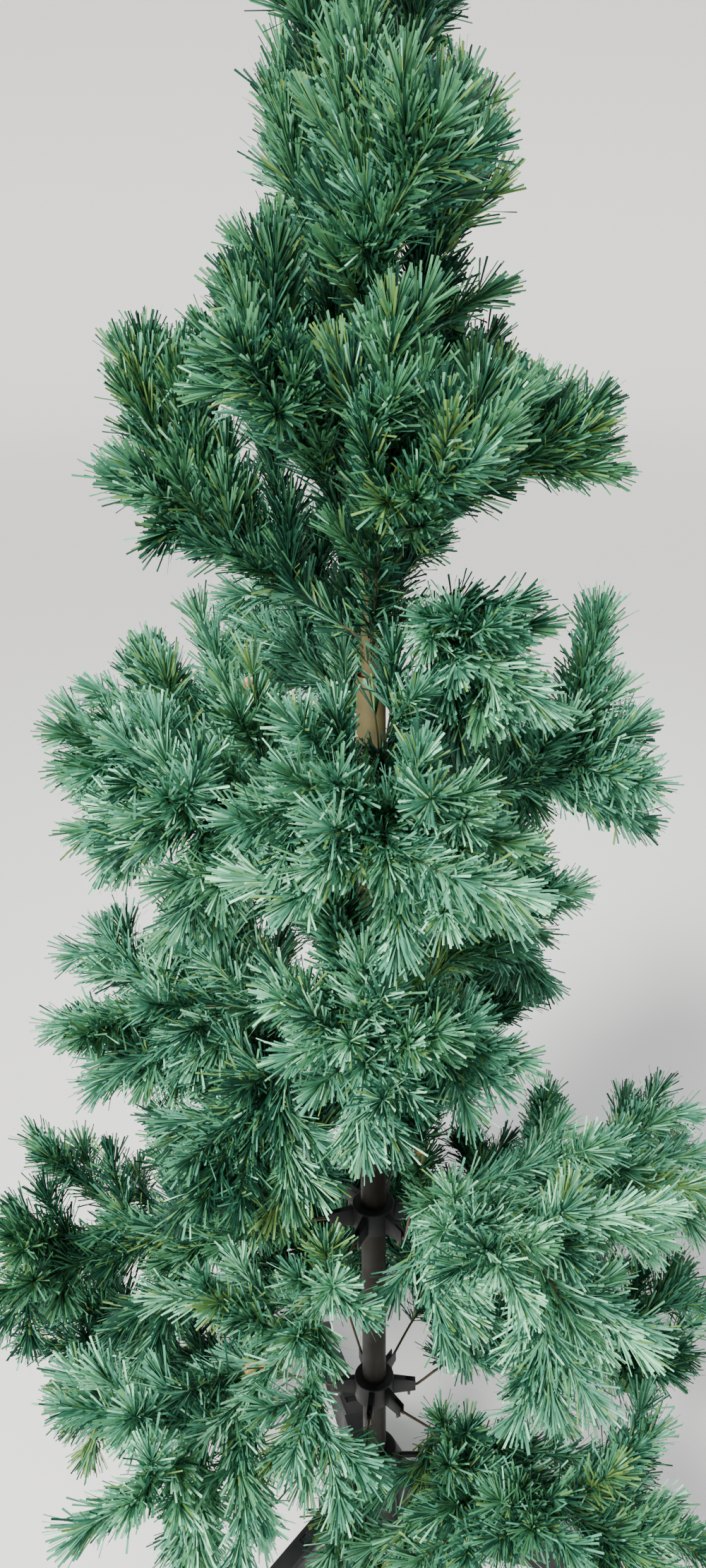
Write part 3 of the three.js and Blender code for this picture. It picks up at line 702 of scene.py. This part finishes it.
def start_clean():
    if bpy.context.mode != "OBJECT":
        bpy.ops.object.mode_set(mode="OBJECT")
    bpy.ops.object.select_all(action="DESELECT")


def choose(shape):
    start_clean()
    shape.select_set(True)
    bpy.context.view_layer.objects.active = shape


def settle():
    """Puts the new shape's place, turn and size into its mesh."""
    bpy.ops.object.transform_apply(location=True, rotation=True, scale=True)
    return bpy.context.object


def cylinder(radius, foot, head, sides, top_radius=None):
    start_clean()
    bpy.ops.mesh.primitive_cone_add(vertices=sides, radius1=radius * MM,
                                    radius2=(radius if top_radius is None else top_radius) * MM,
                                    depth=(head - foot) * MM, location=(0, 0, (foot + head) / 2 * MM))
    return settle()


def box(x0, x1, width, z0, z1):
    start_clean()
    bpy.ops.mesh.primitive_cube_add(size=1, location=((x0 + x1) / 2 * MM, 0, (z0 + z1) / 2 * MM),
                                    scale=((x1 - x0) * MM, width * MM, (z1 - z0) * MM))
    return settle()


def edit(shape, mode="FACE"):
    choose(shape)
    bpy.ops.object.mode_set(mode="EDIT")
    bpy.ops.mesh.select_mode(type=mode)
    bpy.ops.mesh.select_all(action="DESELECT")


def pick(mode, kind, test):
    bpy.ops.mesh.select_mode(type=mode)
    mesh = bmesh.from_edit_mesh(bpy.context.object.data)
    parts = getattr(mesh, kind)
    for part in parts:
        part.select_set(False)
    for part in parts:
        if test(part):
            part.select_set(True)
    bmesh.update_edit_mesh(bpy.context.object.data)


def pick_faces(test):
    pick("FACE", "faces", lambda face: test(face.calc_center_median() / MM, face.normal))


def pick_edges(test):
    pick("EDGE", "edges", lambda edge: test(edge.verts[0].co / MM, edge.verts[1].co / MM))


def pick_corners(test):
    pick("VERT", "verts", lambda corner: test(corner.co / MM))


def cut_at(point, normal):
    bpy.ops.mesh.select_all(action="SELECT")
    bpy.ops.mesh.bisect(plane_co=[p * MM for p in point], plane_no=normal)


def pull(x, y, z):
    bpy.ops.mesh.extrude_region_move(TRANSFORM_OT_translate={"value": (x * MM, y * MM, z * MM)})


def widen(factor, centre=(0, 0, 0)):
    bpy.ops.transform.resize(value=(factor, factor, 1), center_override=[c * MM for c in centre])


def bevel_edges(width, segments=2):
    bpy.ops.mesh.bevel(offset=width * MM, segments=segments, affect="EDGES")


def apply_bevel(shape, width, segments=2, angle=35):
    choose(shape)
    bevel = shape.modifiers.new("edges", "BEVEL")
    bevel.width = width * MM
    bevel.segments = segments
    bevel.limit_method = "ANGLE"
    bevel.angle_limit = math.radians(angle)
    bpy.ops.object.modifier_apply(modifier=bevel.name)


def boolean(shape, other, operation):
    choose(shape)
    step = shape.modifiers.new("join", "BOOLEAN")
    step.operation = operation
    step.solver = "EXACT"
    step.object = other
    bpy.ops.object.modifier_apply(modifier=step.name)
    bpy.data.objects.remove(other)
    return shape


def new_object(name, data):
    shape = bpy.data.objects.new(name, data)
    bpy.context.collection.objects.link(shape)
    return shape


def placed_copy(shape, place, turn):
    """A copy with a mesh of its own, moved and turned."""
    copy = new_object(shape.name, shape.data.copy())
    copy.location = place
    copy.rotation_euler = turn
    choose(copy)
    return settle()


def turned_copy(shape, azimuth):
    return placed_copy(shape, (0, 0, 0), (0, 0, math.radians(azimuth)))


def joined(shapes):
    start_clean()
    for shape in shapes:
        shape.select_set(True)
    bpy.context.view_layer.objects.active = shapes[0]
    bpy.ops.object.join()
    return bpy.context.object


def finish_piece(shape, name, look, nodes=(), smooth=30):
    """Names the piece, gives it its material and puts it on the frame in place of its nodes."""
    choose(shape)
    if smooth:
        bpy.ops.object.shade_smooth_by_angle(angle=math.radians(smooth))
    shape.name = shape.data.name = name
    shape.data.materials.clear()
    shape.data.materials.append(look)
    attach(shape, "root")
    if nodes:
        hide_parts(*nodes)
    return shape


def mesh_piece(name, corners, faces, look, nodes=(), smooth=0):
    """A joined mesh of many small things, from arrays of corners in metres and triangles."""
    mesh = bpy.data.meshes.new(name)
    mesh.vertices.add(len(corners))
    mesh.vertices.foreach_set("co", np.asarray(corners, np.float32).ravel())
    mesh.loops.add(faces.size)
    mesh.loops.foreach_set("vertex_index", faces.astype(np.int32).ravel())
    mesh.polygons.add(len(faces))
    mesh.polygons.foreach_set("loop_start", np.arange(len(faces), dtype=np.int32) * 3)
    mesh.update(calc_edges=True)
    return finish_piece(new_object(name, mesh), name, look, nodes, smooth)


def unit(ways):
    return ways / np.linalg.norm(ways, axis=-1, keepdims=True)


def turned_way(one, other, angle):
    """Directions between two that lie at right angles, at an angle from the first."""
    return one * np.cos(angle) + other * np.sin(angle)


def across_wire(ahead):
    """Two directions at right angles to each of the given ones: to its side and above it."""
    side = np.cross(ahead, (0, 0, 1.0))
    side[np.linalg.norm(side, axis=1) < UPRIGHT] = (1, 0, 0)
    side = unit(side)
    return side, np.cross(side, ahead)


def tube_arrays(paths, radii, sides):
    """Closed tubes along paths in millimetres, with their root and tip radius in metres."""
    corners, faces = [], []
    count = 0
    turns = np.arange(sides) * 2 * math.pi / sides
    for path in paths:
        points = path * MM
        side, up = across_wire(unit(np.gradient(points, axis=0)))
        radius = np.linspace(*radii, len(points))
        ring = turned_way(side[:, None], up[:, None], turns[None, :, None])
        corners.append((points[:, None] + ring * radius[:, None, None]).reshape(-1, 3))
        corners.append(points[[0, -1]])
        rows = len(points)
        for i in range(rows - 1):
            for k in range(sides):
                a, b = count + i * sides + k, count + i * sides + (k + 1) % sides
                faces += [(a, a + sides, b), (b, a + sides, b + sides)]
        foot, head = count + rows * sides, count + rows * sides + 1
        for k in range(sides):
            a, b = count + k, count + (k + 1) % sides
            faces.append((foot, a, b))
            last = (rows - 1) * sides
            faces.append((head, b + last, a + last))
        count += rows * sides + 2
    return np.vstack(corners), np.array(faces)


# Needles


def tone_mix(path, kind, name):
    """The shares of the tones on one brush: painted shade near the pole and on the boughs in shadow, painted
    light on the boughs that catch the light, yellower round the pole's top.
    """
    height, reach = path[0, 2], np.hypot(path[:, 0], path[:, 1]).mean()
    if kind == "wrap":
        return WRAP_MIX
    # Painted shade: brushes near the pole get the darkest mix
    if reach < (UPPER_CORE_REACH if height > HIGH_HEIGHT else CORE_REACH):
        return PAINTED_SHADE_CORE_MIX
    # Painted light on the boughs that catch the light
    if name in PAINTED_LIGHT_BOUGHS:
        return PAINTED_LIGHT_MIX
    # Painted shade on the boughs that lie in shadow
    if name in PAINTED_SHADE_BOUGHS:
        return PAINTED_SHADE_BOUGH_MIX
    if kind == "bough":
        return ROOT_MIX
    if height > HIGH_HEIGHT:
        return HIGH_MIX
    return MIDDLE_MIX if height > MIDDLE_HEIGHT else LOW_MIX


@functools.cache
def tape_places():
    """The middle of each winding of tape and the way that its wire runs there."""
    places = []
    boughs = {bough["name"]: bough for bough in grow()}
    for name, tip, place in TAPES:
        path = boughs[name]["tips"][tip]
        way = unit(along(path, place + TAPE_REACH) - along(path, place - TAPE_REACH))
        places.append((along(path, place), way))
    return places


def list_brushes():
    """Every stretch of wire that carries needles: its path, the needles' reach, its kind and its bough."""
    brushes = []
    for bough in grow():
        column = bough["tier"]["radius"] == COLUMN_RADIUS
        reach = COLUMN_NEEDLE_REACH if column else TIP_NEEDLE_REACH
        start = bough["bare"] if bough["wire"] else ROOT_START / bough["shape"][4]
        whole = part_of(bough["stem"], start, 1, PATH_STEPS)
        brushes.append((smooth_path(whole, PATH_SMOOTH), BOUGH_NEEDLE_REACH, "bough", bough["name"]))
        kind = "upper" if bough["tier"]["height"] > UPPER_FROM else "tip"
        for path in (*bough["tips"], *bough["sprigs"]):
            brushes.append((smooth_path(path, PATH_SMOOTH), reach, kind, bough["name"]))
    wrap = part_of(upright(WRAP_START, POLE_TOP_HEIGHT), 0, 1, PATH_STEPS)
    brushes.append((wrap, WRAP_REACH, "wrap", "pole"))
    return brushes


def bares_pole(points):
    """Which points the camera sees before the short stretch of pole that shows bare."""
    near = 1 / (1 + points[:, 1] / VIEW_DISTANCE)
    across = points[:, 0] * near + VIEW_SHIFT * (near - 1)
    height = VIEW_HEIGHT + (points[:, 2] - VIEW_HEIGHT) * near
    before = (points[:, 1] < POLE_RADIUS) & (np.abs(across) < BARE_WIDTH / 2)
    return before & (height > BARE_HEIGHTS[0]) & (height < BARE_HEIGHTS[1])


def brush_needles(path, reach, kind, per_mm, sizes, random):
    """The four corners of each flat needle on one brush, in metres, and which needles are inner ones."""
    body = int(path_length(path) * per_mm)
    fan = 0 if kind == "wrap" else FAN_NEEDLES
    count = body + fan
    inner = np.arange(count) < body * INNER_SHARE
    place = np.concatenate([random.uniform(0, 1, body), random.uniform(FAN_SHARE, 1, fan)]) * (len(path) - 1)
    i = np.minimum(place.astype(int), len(path) - 2)
    step = path[i + 1] - path[i]
    root = path[i] + step * (place - i)[:, None]
    ahead = unit(step)
    side, up = across_wire(ahead)
    turn = random.uniform(0, 2 * math.pi, count)[:, None]
    rake = np.full(count, random.uniform(*RAKES[kind])) + random.normal(0, RAKE_SCATTER, count)
    rake[body:] = random.uniform(*FAN_RAKES[kind], fan)
    rake = np.radians(np.clip(rake + INNER_RAKE * inner, *RAKE_LIMITS))[:, None]
    out = turned_way(side, up, turn)
    way = turned_way(ahead, out, rake)
    base = sizes.wrap_length if kind == "wrap" else sizes.needle_length
    shares = np.where(inner, random.uniform(*INNER_LENGTHS, count), random.uniform(*NEEDLE_LENGTHS, count))
    reaches = reach * random.uniform(*REACH_SPREAD, count) / np.sin(np.maximum(rake[:, 0], 0.1))
    long = np.minimum(base / MM * shares, reaches)
    if kind == "wrap":
        root = root + out * ROD_TIP_RADIUS
    across = unit(np.cross(way, out + 0.01 * ahead))
    level = np.cross(way, across)
    flat = random.uniform(0, math.pi, count)[:, None]
    half = sizes.needle_width / 2 / MM * random.uniform(*NEEDLE_WIDTHS, count)[:, None]
    wide = turned_way(across, level, flat) * half
    narrow = turned_way(across, level, flat + NEEDLE_TWIST) * half * ROOT_WIDTH
    tip = root + way * long[:, None]
    free = ~bares_pole((root + tip) / 2)
    for middle, _ in tape_places():
        free &= np.linalg.norm(root - middle, axis=1) > TAPE_LENGTH / 2
    return np.stack([root - narrow, root + narrow, tip + wide, tip - wide], axis=1)[free] * MM, inner[free]


def deal_tones(inner, mix, random):
    """A tone for each needle: near the wire a yellower mix, else the brush's own or one from its mix."""
    count = len(inner)
    own = random.choice(len(TONES), p=mix)
    dealt = random.choice(len(TONES), size=count, p=mix)
    tones = np.where(random.uniform(0, 1, count) < MAIN_SHARE, own, dealt)
    return np.where(inner, random.choice(len(TONES), size=count, p=INNER_MIX), tones)


class TREE_OT_needles(bpy.types.Operator):
    """Grow the needles on every bough, tip and sprig and on the wrapped top of the pole"""

    bl_idname = "tree.needles"
    bl_label = "Needles"

    def execute(self, context):
        sizes, colours = context.scene.tree_sizes, context.scene.tree_colours
        random = np.random.default_rng(SEED)
        brushes = list_brushes()
        total = sum(path_length(brush[0]) for brush in brushes)
        per_mm = (sizes.needle_count - FAN_NEEDLES * len(brushes)) / total
        corners, tones = [], []
        for path, reach, kind, name in brushes:
            made, inner = brush_needles(path, reach, kind, per_mm, sizes, random)
            corners.append(made)
            tones.append(deal_tones(inner, tone_mix(path, kind, name), random))
        corners, tones = np.concatenate(corners), np.concatenate(tones)
        foliage = [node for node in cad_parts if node.startswith("foliage_")]
        faces = np.array([(0, 1, 2), (0, 2, 3)])
        for number, tone in enumerate(TONES):
            # needles_pale is a painted highlight
            look = new_material(f"needles_{tone}", getattr(colours, tone), 0.5, specular=0.22)
            own = corners[tones == number]
            parts = math.ceil(len(own) / PIECE_NEEDLES)
            for k, part in enumerate(np.array_split(own, parts)):
                rows = (np.arange(len(part)) * 4)[:, None, None] + faces[None]
                mesh_piece(f"needles_{tone}_{k + 1}", part.reshape(-1, 3), rows.reshape(-1, 3), look,
                           foliage)
        return {"FINISHED"}


class TREE_OT_twigs(bpy.types.Operator):
    """Grow the twisted wire inside every tip and sprig"""

    bl_idname = "tree.twigs"
    bl_label = "Twigs"

    def execute(self, context):
        radius = context.scene.tree_sizes.twig_radius
        twigs = [path for bough in grow() for path in (*bough["tips"], *bough["sprigs"])]
        paths = [smooth_path(path, TWIG_SMOOTH) for path in twigs]
        corners, faces = tube_arrays(paths, (radius, radius * TWIG_TAPER), TWIG_SIDES)
        look = new_material("twig_wire", context.scene.tree_colours.twig, 0.55)
        mesh_piece("twigs", corners, faces, look, smooth=50)
        return {"FINISHED"}


class TREE_OT_tapes(bpy.types.Operator):
    """Model a winding of tan tape and copy it on to the tips that are wound on with it"""

    bl_idname = "tree.tapes"
    bl_label = "Tape windings"

    def execute(self, context):
        half = TAPE_LENGTH / 2
        winding = cylinder(TAPE_RADIUS, -half, half, TAPE_SIDES)
        edit(winding)
        for turn in (-2.5, -1.5, -0.5, 0.5, 1.5, 2.5):
            cut_at((0, 0, half * TAPE_TURN * turn), (0, TAPE_SLANT, 1))
        pick_corners(lambda p: abs(p.z) > half - NEAR)
        widen(TAPE_ENDS)
        ridges = (-3, 1, 5)
        pick_corners(lambda p: round((p.z + TAPE_SLANT * p.y) / half / (TAPE_TURN / 2)) in ridges)
        widen(TAPE_RIDGES)
        apply_bevel(winding, TAPE_EDGE, 1, 20)
        copies = [set_on_wire(winding, middle, way) for middle, way in tape_places()]
        bpy.data.objects.remove(winding)
        finish_piece(joined(copies), "tape_windings", speckled_look("tape"), smooth=40)
        return {"FINISHED"}


def set_on_wire(shape, middle, way):
    return placed_copy(shape, middle * MM, mathutils.Vector(way).to_track_quat("Z", "Y").to_euler())


class TREE_OT_boughs(bpy.types.Operator):
    """Bend each bough's painted wire, hooked into its ring's arm or wound on to the pole"""

    bl_idname = "tree.boughs"
    bl_label = "Bough wires"

    def execute(self, context):
        curve = bpy.data.curves.new("bough_wires", "CURVE")
        curve.dimensions = "3D"
        curve.bevel_depth = context.scene.tree_sizes.wire_radius
        curve.bevel_resolution = 2
        curve.use_fill_caps = True
        for bough in grow():
            path = smooth_path(np.vstack([hook_points(bough), bough["stem"]]), PATH_SMOOTH)
            spline = curve.splines.new("POLY")
            spline.points.add(len(path) - 1)
            for i, point in enumerate(path):
                spline.points[i].co = (*(point * MM), 1)
                spline.points[i].radius = 1 - WIRE_TAPER * i / (len(path) - 1)
        choose(new_object("bough_wires", curve))
        bpy.ops.object.convert(target="MESH")
        wires = [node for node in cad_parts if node.startswith("wire_")]
        finish_piece(context.object, "bough_wires", speckled_look("wire"), wires, 50)
        return {"FINISHED"}


def hook_points(bough):
    """The bent root of a bough's wire: down into the arm's slot, or in against the pole."""
    tier = bough["tier"]
    out = heading(bough["shape"][0], 0)
    level = np.array([0, 0, tier["height"]], float)
    if tier is LEADER:
        return np.array([level - (0, 0, LEADER_SINK)])
    if tier["ring"]:
        slot = level + out * (ARM_REACH - SLOT_LENGTH + HOOK_SETBACK)
        return np.array([slot - (0, 0, HOOK_DEPTH), slot - (0, 0, HOOK_BEND), slot + out * HOOK_LEAD])
    face = rod_radius(tier["height"])
    foot = level + out * (face - ROOT_SINK) - (0, 0, ROOT_DROP)
    return np.array([foot, level + out * face - (0, 0, ROOT_BEND)])


class TREE_OT_pole(bpy.types.Operator):
    """Model the pole: two sections of painted tube and the rod that carries the top"""

    bl_idname = "tree.pole"
    bl_label = "Pole"

    def execute(self, context):
        lower = pole_tube(HUB_FLOOR + GAP, POLE_JOINT_HEIGHT)
        edit(lower)
        swage = POLE_JOINT_HEIGHT - SWAGE_LENGTH
        cut_at((0, 0, swage), (0, 0, 1))
        cut_at((0, 0, swage + SWAGE_SLOPE), (0, 0, 1))
        pick_corners(lambda p: p.z > swage + 1)
        widen(SWAGE_RADIUS / POLE_RADIUS)
        # The lower tube's near-black look is painted shade
        finish_piece(lower, "pole_lower_tube", speckled_look("foot"), ["pole_lower"])
        middle = pole_tube(POLE_JOINT_HEIGHT + GAP, POLE_SHOULDER_HEIGHT)
        finish_piece(middle, "pole_middle_tube", speckled_look("pole"), ["pole_middle"])
        shoulder = POLE_SHOULDER_HEIGHT + GAP
        rod = cylinder(ROD_FOOT_RADIUS, shoulder, POLE_TOP_HEIGHT, ROD_SIDES, ROD_TIP_RADIUS)
        edit(rod)
        pick_edges(lambda a, b: min(a.z, b.z) > POLE_TOP_HEIGHT - 1)
        bevel_edges(ROD_EDGE)
        finish_piece(rod, "pole_top_rod", speckled_look("pole"), ["pole_top"])
        return {"FINISHED"}


def pole_tube(foot, head):
    """A tube whose top end is rounded over and open a short way down."""
    tube = cylinder(POLE_RADIUS, foot, head, POLE_SIDES)
    edit(tube)
    pick_faces(lambda centre, normal: normal.z > 0.9)
    bpy.ops.mesh.inset(thickness=POLE_WALL * MM)
    pull(0, 0, -TUBE_OPENING)
    pick_edges(lambda a, b: min(a.z, b.z) > head - NEAR
               and abs(math.hypot(a.x, a.y) - POLE_RADIUS) < TUBE_LIP)
    bevel_edges(TUBE_LIP)
    return tube


class TREE_OT_rings(bpy.types.Operator):
    """Model the branch rings: a collar round the pole with a slotted arm under each bough"""

    bl_idname = "tree.rings"
    bl_label = "Branch rings"

    def execute(self, context):
        arm = ring_arm()
        for tier in TIERS:
            if tier["ring"]:
                arms = [turned_copy(arm, shape[0]) for shape in tier["boughs"].values()]
                ring = joined([ring_collar(), *arms])
                edit(ring)
                bpy.ops.mesh.select_all(action="SELECT")
                bpy.ops.transform.translate(value=(0, 0, tier["height"] * MM))
                name = tier["name"]
                look = speckled_look("plastic")
                finish_piece(ring, f"{name}_holder", look, [f"{name}_ring"])
        bpy.data.objects.remove(arm)
        return {"FINISHED"}


def ring_collar():
    half = COLLAR_HEIGHT / 2
    collar = cylinder(COLLAR_RADIUS, -half, half, POLE_SIDES)
    edit(collar)
    pick_faces(lambda centre, normal: abs(normal.z) > 0.9)
    bpy.ops.mesh.inset(thickness=(COLLAR_RADIUS - POLE_RADIUS - GAP) * MM)
    bpy.ops.mesh.bridge_edge_loops()
    pick_edges(lambda a, b: min(abs(a.z), abs(b.z)) > half - NEAR and a.z * b.z > 0
               and math.hypot(a.x, a.y) > COLLAR_RADIUS - 1 and math.hypot(b.x, b.y) > COLLAR_RADIUS - 1)
    bevel_edges(COLLAR_EDGE, 3)
    return collar


def ring_arm():
    """One arm along +X: deeper at the collar, with a slot at its end that a wire hooks into."""
    arm = box(ARM_START, ARM_REACH, ARM_WIDTH, -ARM_INNER_HEIGHT / 2, ARM_INNER_HEIGHT / 2)
    edit(arm)
    pick_faces(lambda centre, normal: normal.x > 0.9)
    bpy.ops.transform.resize(value=(1, 1, ARM_OUTER_HEIGHT / ARM_INNER_HEIGHT))
    slot = box(ARM_REACH - SLOT_LENGTH, ARM_REACH + 2, SLOT_WIDTH, -ARM_INNER_HEIGHT, ARM_INNER_HEIGHT)
    boolean(arm, slot, "DIFFERENCE")
    apply_bevel(arm, SMALL_EDGE)
    return arm


class TREE_OT_stand(bpy.types.Operator):
    """Model the stand: the hub with its sleeves and clamping screw, and the three legs"""

    bl_idname = "tree.stand"
    bl_label = "Stand"

    def execute(self, context):
        finish_piece(stand_hub(), "stand_hub_moulding", speckled_look("plastic"), ["stand_hub"])
        leg = stand_leg()
        for i, azimuth in enumerate(LEG_AZIMUTHS):
            name = f"stand_leg_{i + 1}"
            copy = turned_copy(leg, azimuth)
            finish_piece(copy, f"{name}_moulding", speckled_look("plastic"), [name])
        bpy.data.objects.remove(leg)
        return {"FINISHED"}


def stand_hub():
    hub = cylinder(HUB_RADIUS, 0, SLEEVE_HEIGHT, POLE_SIDES)
    edit(hub)
    pick_faces(lambda centre, normal: normal.z > 0.9)
    pull(0, 0, HUB_HEIGHT - SLEEVE_HEIGHT)
    widen(HUB_NECK_RADIUS / HUB_RADIUS)
    sleeve = (0, SLEEVE_REACH, LEG_WIDTH + 2 * SLEEVE_WALL, 0, SLEEVE_HEIGHT)
    pocket = (LEG_START - GAP, SLEEVE_REACH + 2, LEG_WIDTH + 2 * GAP, -2, LEG_INNER_HEIGHT + GAP)
    for sides, operation in ((sleeve, "UNION"), (pocket, "DIFFERENCE")):
        for azimuth in LEG_AZIMUTHS:
            whole = box(*sides)
            boolean(hub, turned_copy(whole, azimuth), operation)
            bpy.data.objects.remove(whole)
    boolean(hub, cylinder(POLE_RADIUS + GAP, HUB_FLOOR, HUB_HEIGHT + 2, POLE_SIDES), "DIFFERENCE")
    apply_bevel(hub, HUB_EDGE)
    return joined([hub, clamp_screw()])


def clamp_screw():
    """The screw that clamps the pole, along +X, with a fluted knob."""
    shaft = cylinder(SCREW_RADIUS, POLE_RADIUS + GAP, SCREW_REACH + 1, SCREW_SIDES)
    knob = cylinder(KNOB_RADIUS, SCREW_REACH, SCREW_REACH + KNOB_THICKNESS, KNOB_SIDES)
    edit(knob)
    pick_corners(lambda p: round(math.atan2(p.y, p.x) / (2 * math.pi) * KNOB_SIDES) % FLUTE_STEP == 0)
    widen(FLUTE_SHARE)
    apply_bevel(knob, SMALL_EDGE)
    screw = joined([shaft, knob])
    screw.rotation_euler = (0, math.pi / 2, 0)
    screw.location = (0, 0, SCREW_HEIGHT * MM)
    return settle()


def stand_leg():
    """One leg along +X: level inside its sleeve, then falling to its rounded nose."""
    leg = box(LEG_START, LEG_REACH, LEG_WIDTH, 0, LEG_INNER_HEIGHT)
    edit(leg)
    cut_at((SLEEVE_REACH + GAP, 0, 0), (1, 0, 0))
    pick_corners(lambda p: p.x > LEG_REACH - 1 and p.z > LEG_INNER_HEIGHT - 1)
    bpy.ops.transform.translate(value=(0, 0, (LEG_OUTER_HEIGHT - LEG_INNER_HEIGHT) * MM))
    pick_edges(lambda a, b: min(a.x, b.x) > LEG_REACH - 1 and min(a.z, b.z) > LEG_OUTER_HEIGHT - 1)
    bevel_edges(LEG_NOSE, 4)
    pick_faces(lambda centre, normal: abs(normal.y) > 0.9 and centre.x > SLEEVE_REACH)
    bpy.ops.mesh.inset(thickness=PANEL_RIM * MM, use_individual=True)
    bpy.ops.transform.resize(value=(1, 1 - 2 * PANEL_DEPTH / LEG_WIDTH, 1))
    notch = box(NOTCH_START, NOTCH_START + NOTCH_LENGTH, NOTCH_WIDTH, NOTCH_FLOOR, LEG_INNER_HEIGHT)
    boolean(leg, notch, "DIFFERENCE")
    apply_bevel(leg, LEG_EDGE)
    return leg


class TREE_OT_stage(bpy.types.Operator):
    """Set up the pale floor and backdrop, the soft lights and the camera"""

    bl_idname = "tree.stage"
    bl_label = "Stage"

    def execute(self, context):
        start_clean()
        bpy.ops.mesh.primitive_plane_add(size=FLOOR_SIZE)
        floor = context.object
        rear = FLOOR_SIZE / 2 - 1
        edit(floor, "EDGE")
        pick_edges(lambda a, b: min(a.y, b.y) * MM > rear)
        bpy.ops.mesh.extrude_region_move(TRANSFORM_OT_translate={"value": (0, 0, BACKDROP_HEIGHT)})
        pick_edges(lambda a, b: min(a.y, b.y) * MM > rear and max(a.z, b.z) < 1)
        bpy.ops.mesh.bevel(offset=BACKDROP_BEND, segments=12, affect="EDGES")
        start_clean()
        floor.select_set(True)
        bpy.ops.object.shade_smooth()
        floor.name = "floor"
        floor.data.materials.append(new_material("pale_floor", FLOOR_COLOUR, 0.7))
        world = bpy.data.worlds.new("studio")
        world.use_nodes = True
        set_inputs(world.node_tree.nodes["Background"], {"Color": WORLD_COLOUR, "Strength": WORLD_STRENGTH})
        context.scene.world = world
        for lamp in LAMPS:
            add_lamp(*lamp)
        place_camera(context)
        return {"FINISHED"}


def add_lamp(kind, name, place, target, size, power, colour):
    lamp = bpy.data.lights.new(name, kind)
    if kind == "SUN":
        lamp.angle = math.radians(size)
    else:
        lamp.shape = "DISK"
        lamp.size = size
    lamp.energy = power
    lamp.color = colour
    light = new_object(name, lamp)
    light.location = place
    way = np.array(target, float) - place
    light.rotation_euler = (math.atan2(math.hypot(way[0], way[1]), -way[2]), 0, math.atan2(-way[0], way[1]))
    light.visible_camera = False


def place_camera(context):
    """The camera stands in front of the pole, looks down on it and leans a little."""
    lens = bpy.data.cameras.new("camera")
    lens.sensor_width = SENSOR_SIZE
    lens.lens = SENSOR_SIZE * FOCAL_PIXELS / PHOTO_SIZE[1]
    lens.clip_start, lens.clip_end = 0.05, 100
    camera = new_object("camera", lens)
    camera.location = (-VIEW_SHIFT * MM, -VIEW_DISTANCE * MM, VIEW_HEIGHT * MM)
    camera.rotation_euler = (math.radians(90 - VIEW_PITCH), math.radians(VIEW_LEAN), 0)
    context.scene.camera = camera


class TREE_PT_panel(bpy.types.Panel):
    """Sizes, colours and the pieces of the tree"""

    bl_idname = "TREE_PT_panel"
    bl_label = "Artificial christmas tree"
    bl_space_type = "VIEW_3D"
    bl_region_type = "UI"
    bl_category = "Tree"

    def draw(self, context):
        for group in (context.scene.tree_sizes, context.scene.tree_colours):
            box_area = self.layout.box()
            for name in group.__annotations__:
                box_area.prop(group, name)
        for operator in OPERATORS:
            self.layout.operator(operator.bl_idname)


OPERATORS = (TREE_OT_pole, TREE_OT_rings, TREE_OT_stand, TREE_OT_boughs, TREE_OT_twigs, TREE_OT_tapes,
             TREE_OT_needles, TREE_OT_stage)
CLASSES = (TreeSizes, TreeColours, *OPERATORS, TREE_PT_panel)


def register():
    for item in CLASSES:
        bpy.utils.register_class(item)
    bpy.types.Scene.tree_sizes = bpy.props.PointerProperty(type=TreeSizes)
    bpy.types.Scene.tree_colours = bpy.props.PointerProperty(type=TreeColours)


def unregister():
    del bpy.types.Scene.tree_colours
    del bpy.types.Scene.tree_sizes
    for item in reversed(CLASSES):
        bpy.utils.unregister_class(item)


def main():
    register()
    bpy.ops.tree.pole()
    bpy.ops.tree.rings()
    bpy.ops.tree.stand()
    bpy.ops.tree.boughs()
    bpy.ops.tree.twigs()
    bpy.ops.tree.tapes()
    bpy.ops.tree.needles()
    bpy.ops.tree.stage()


if __name__ == "__main__":
    main()
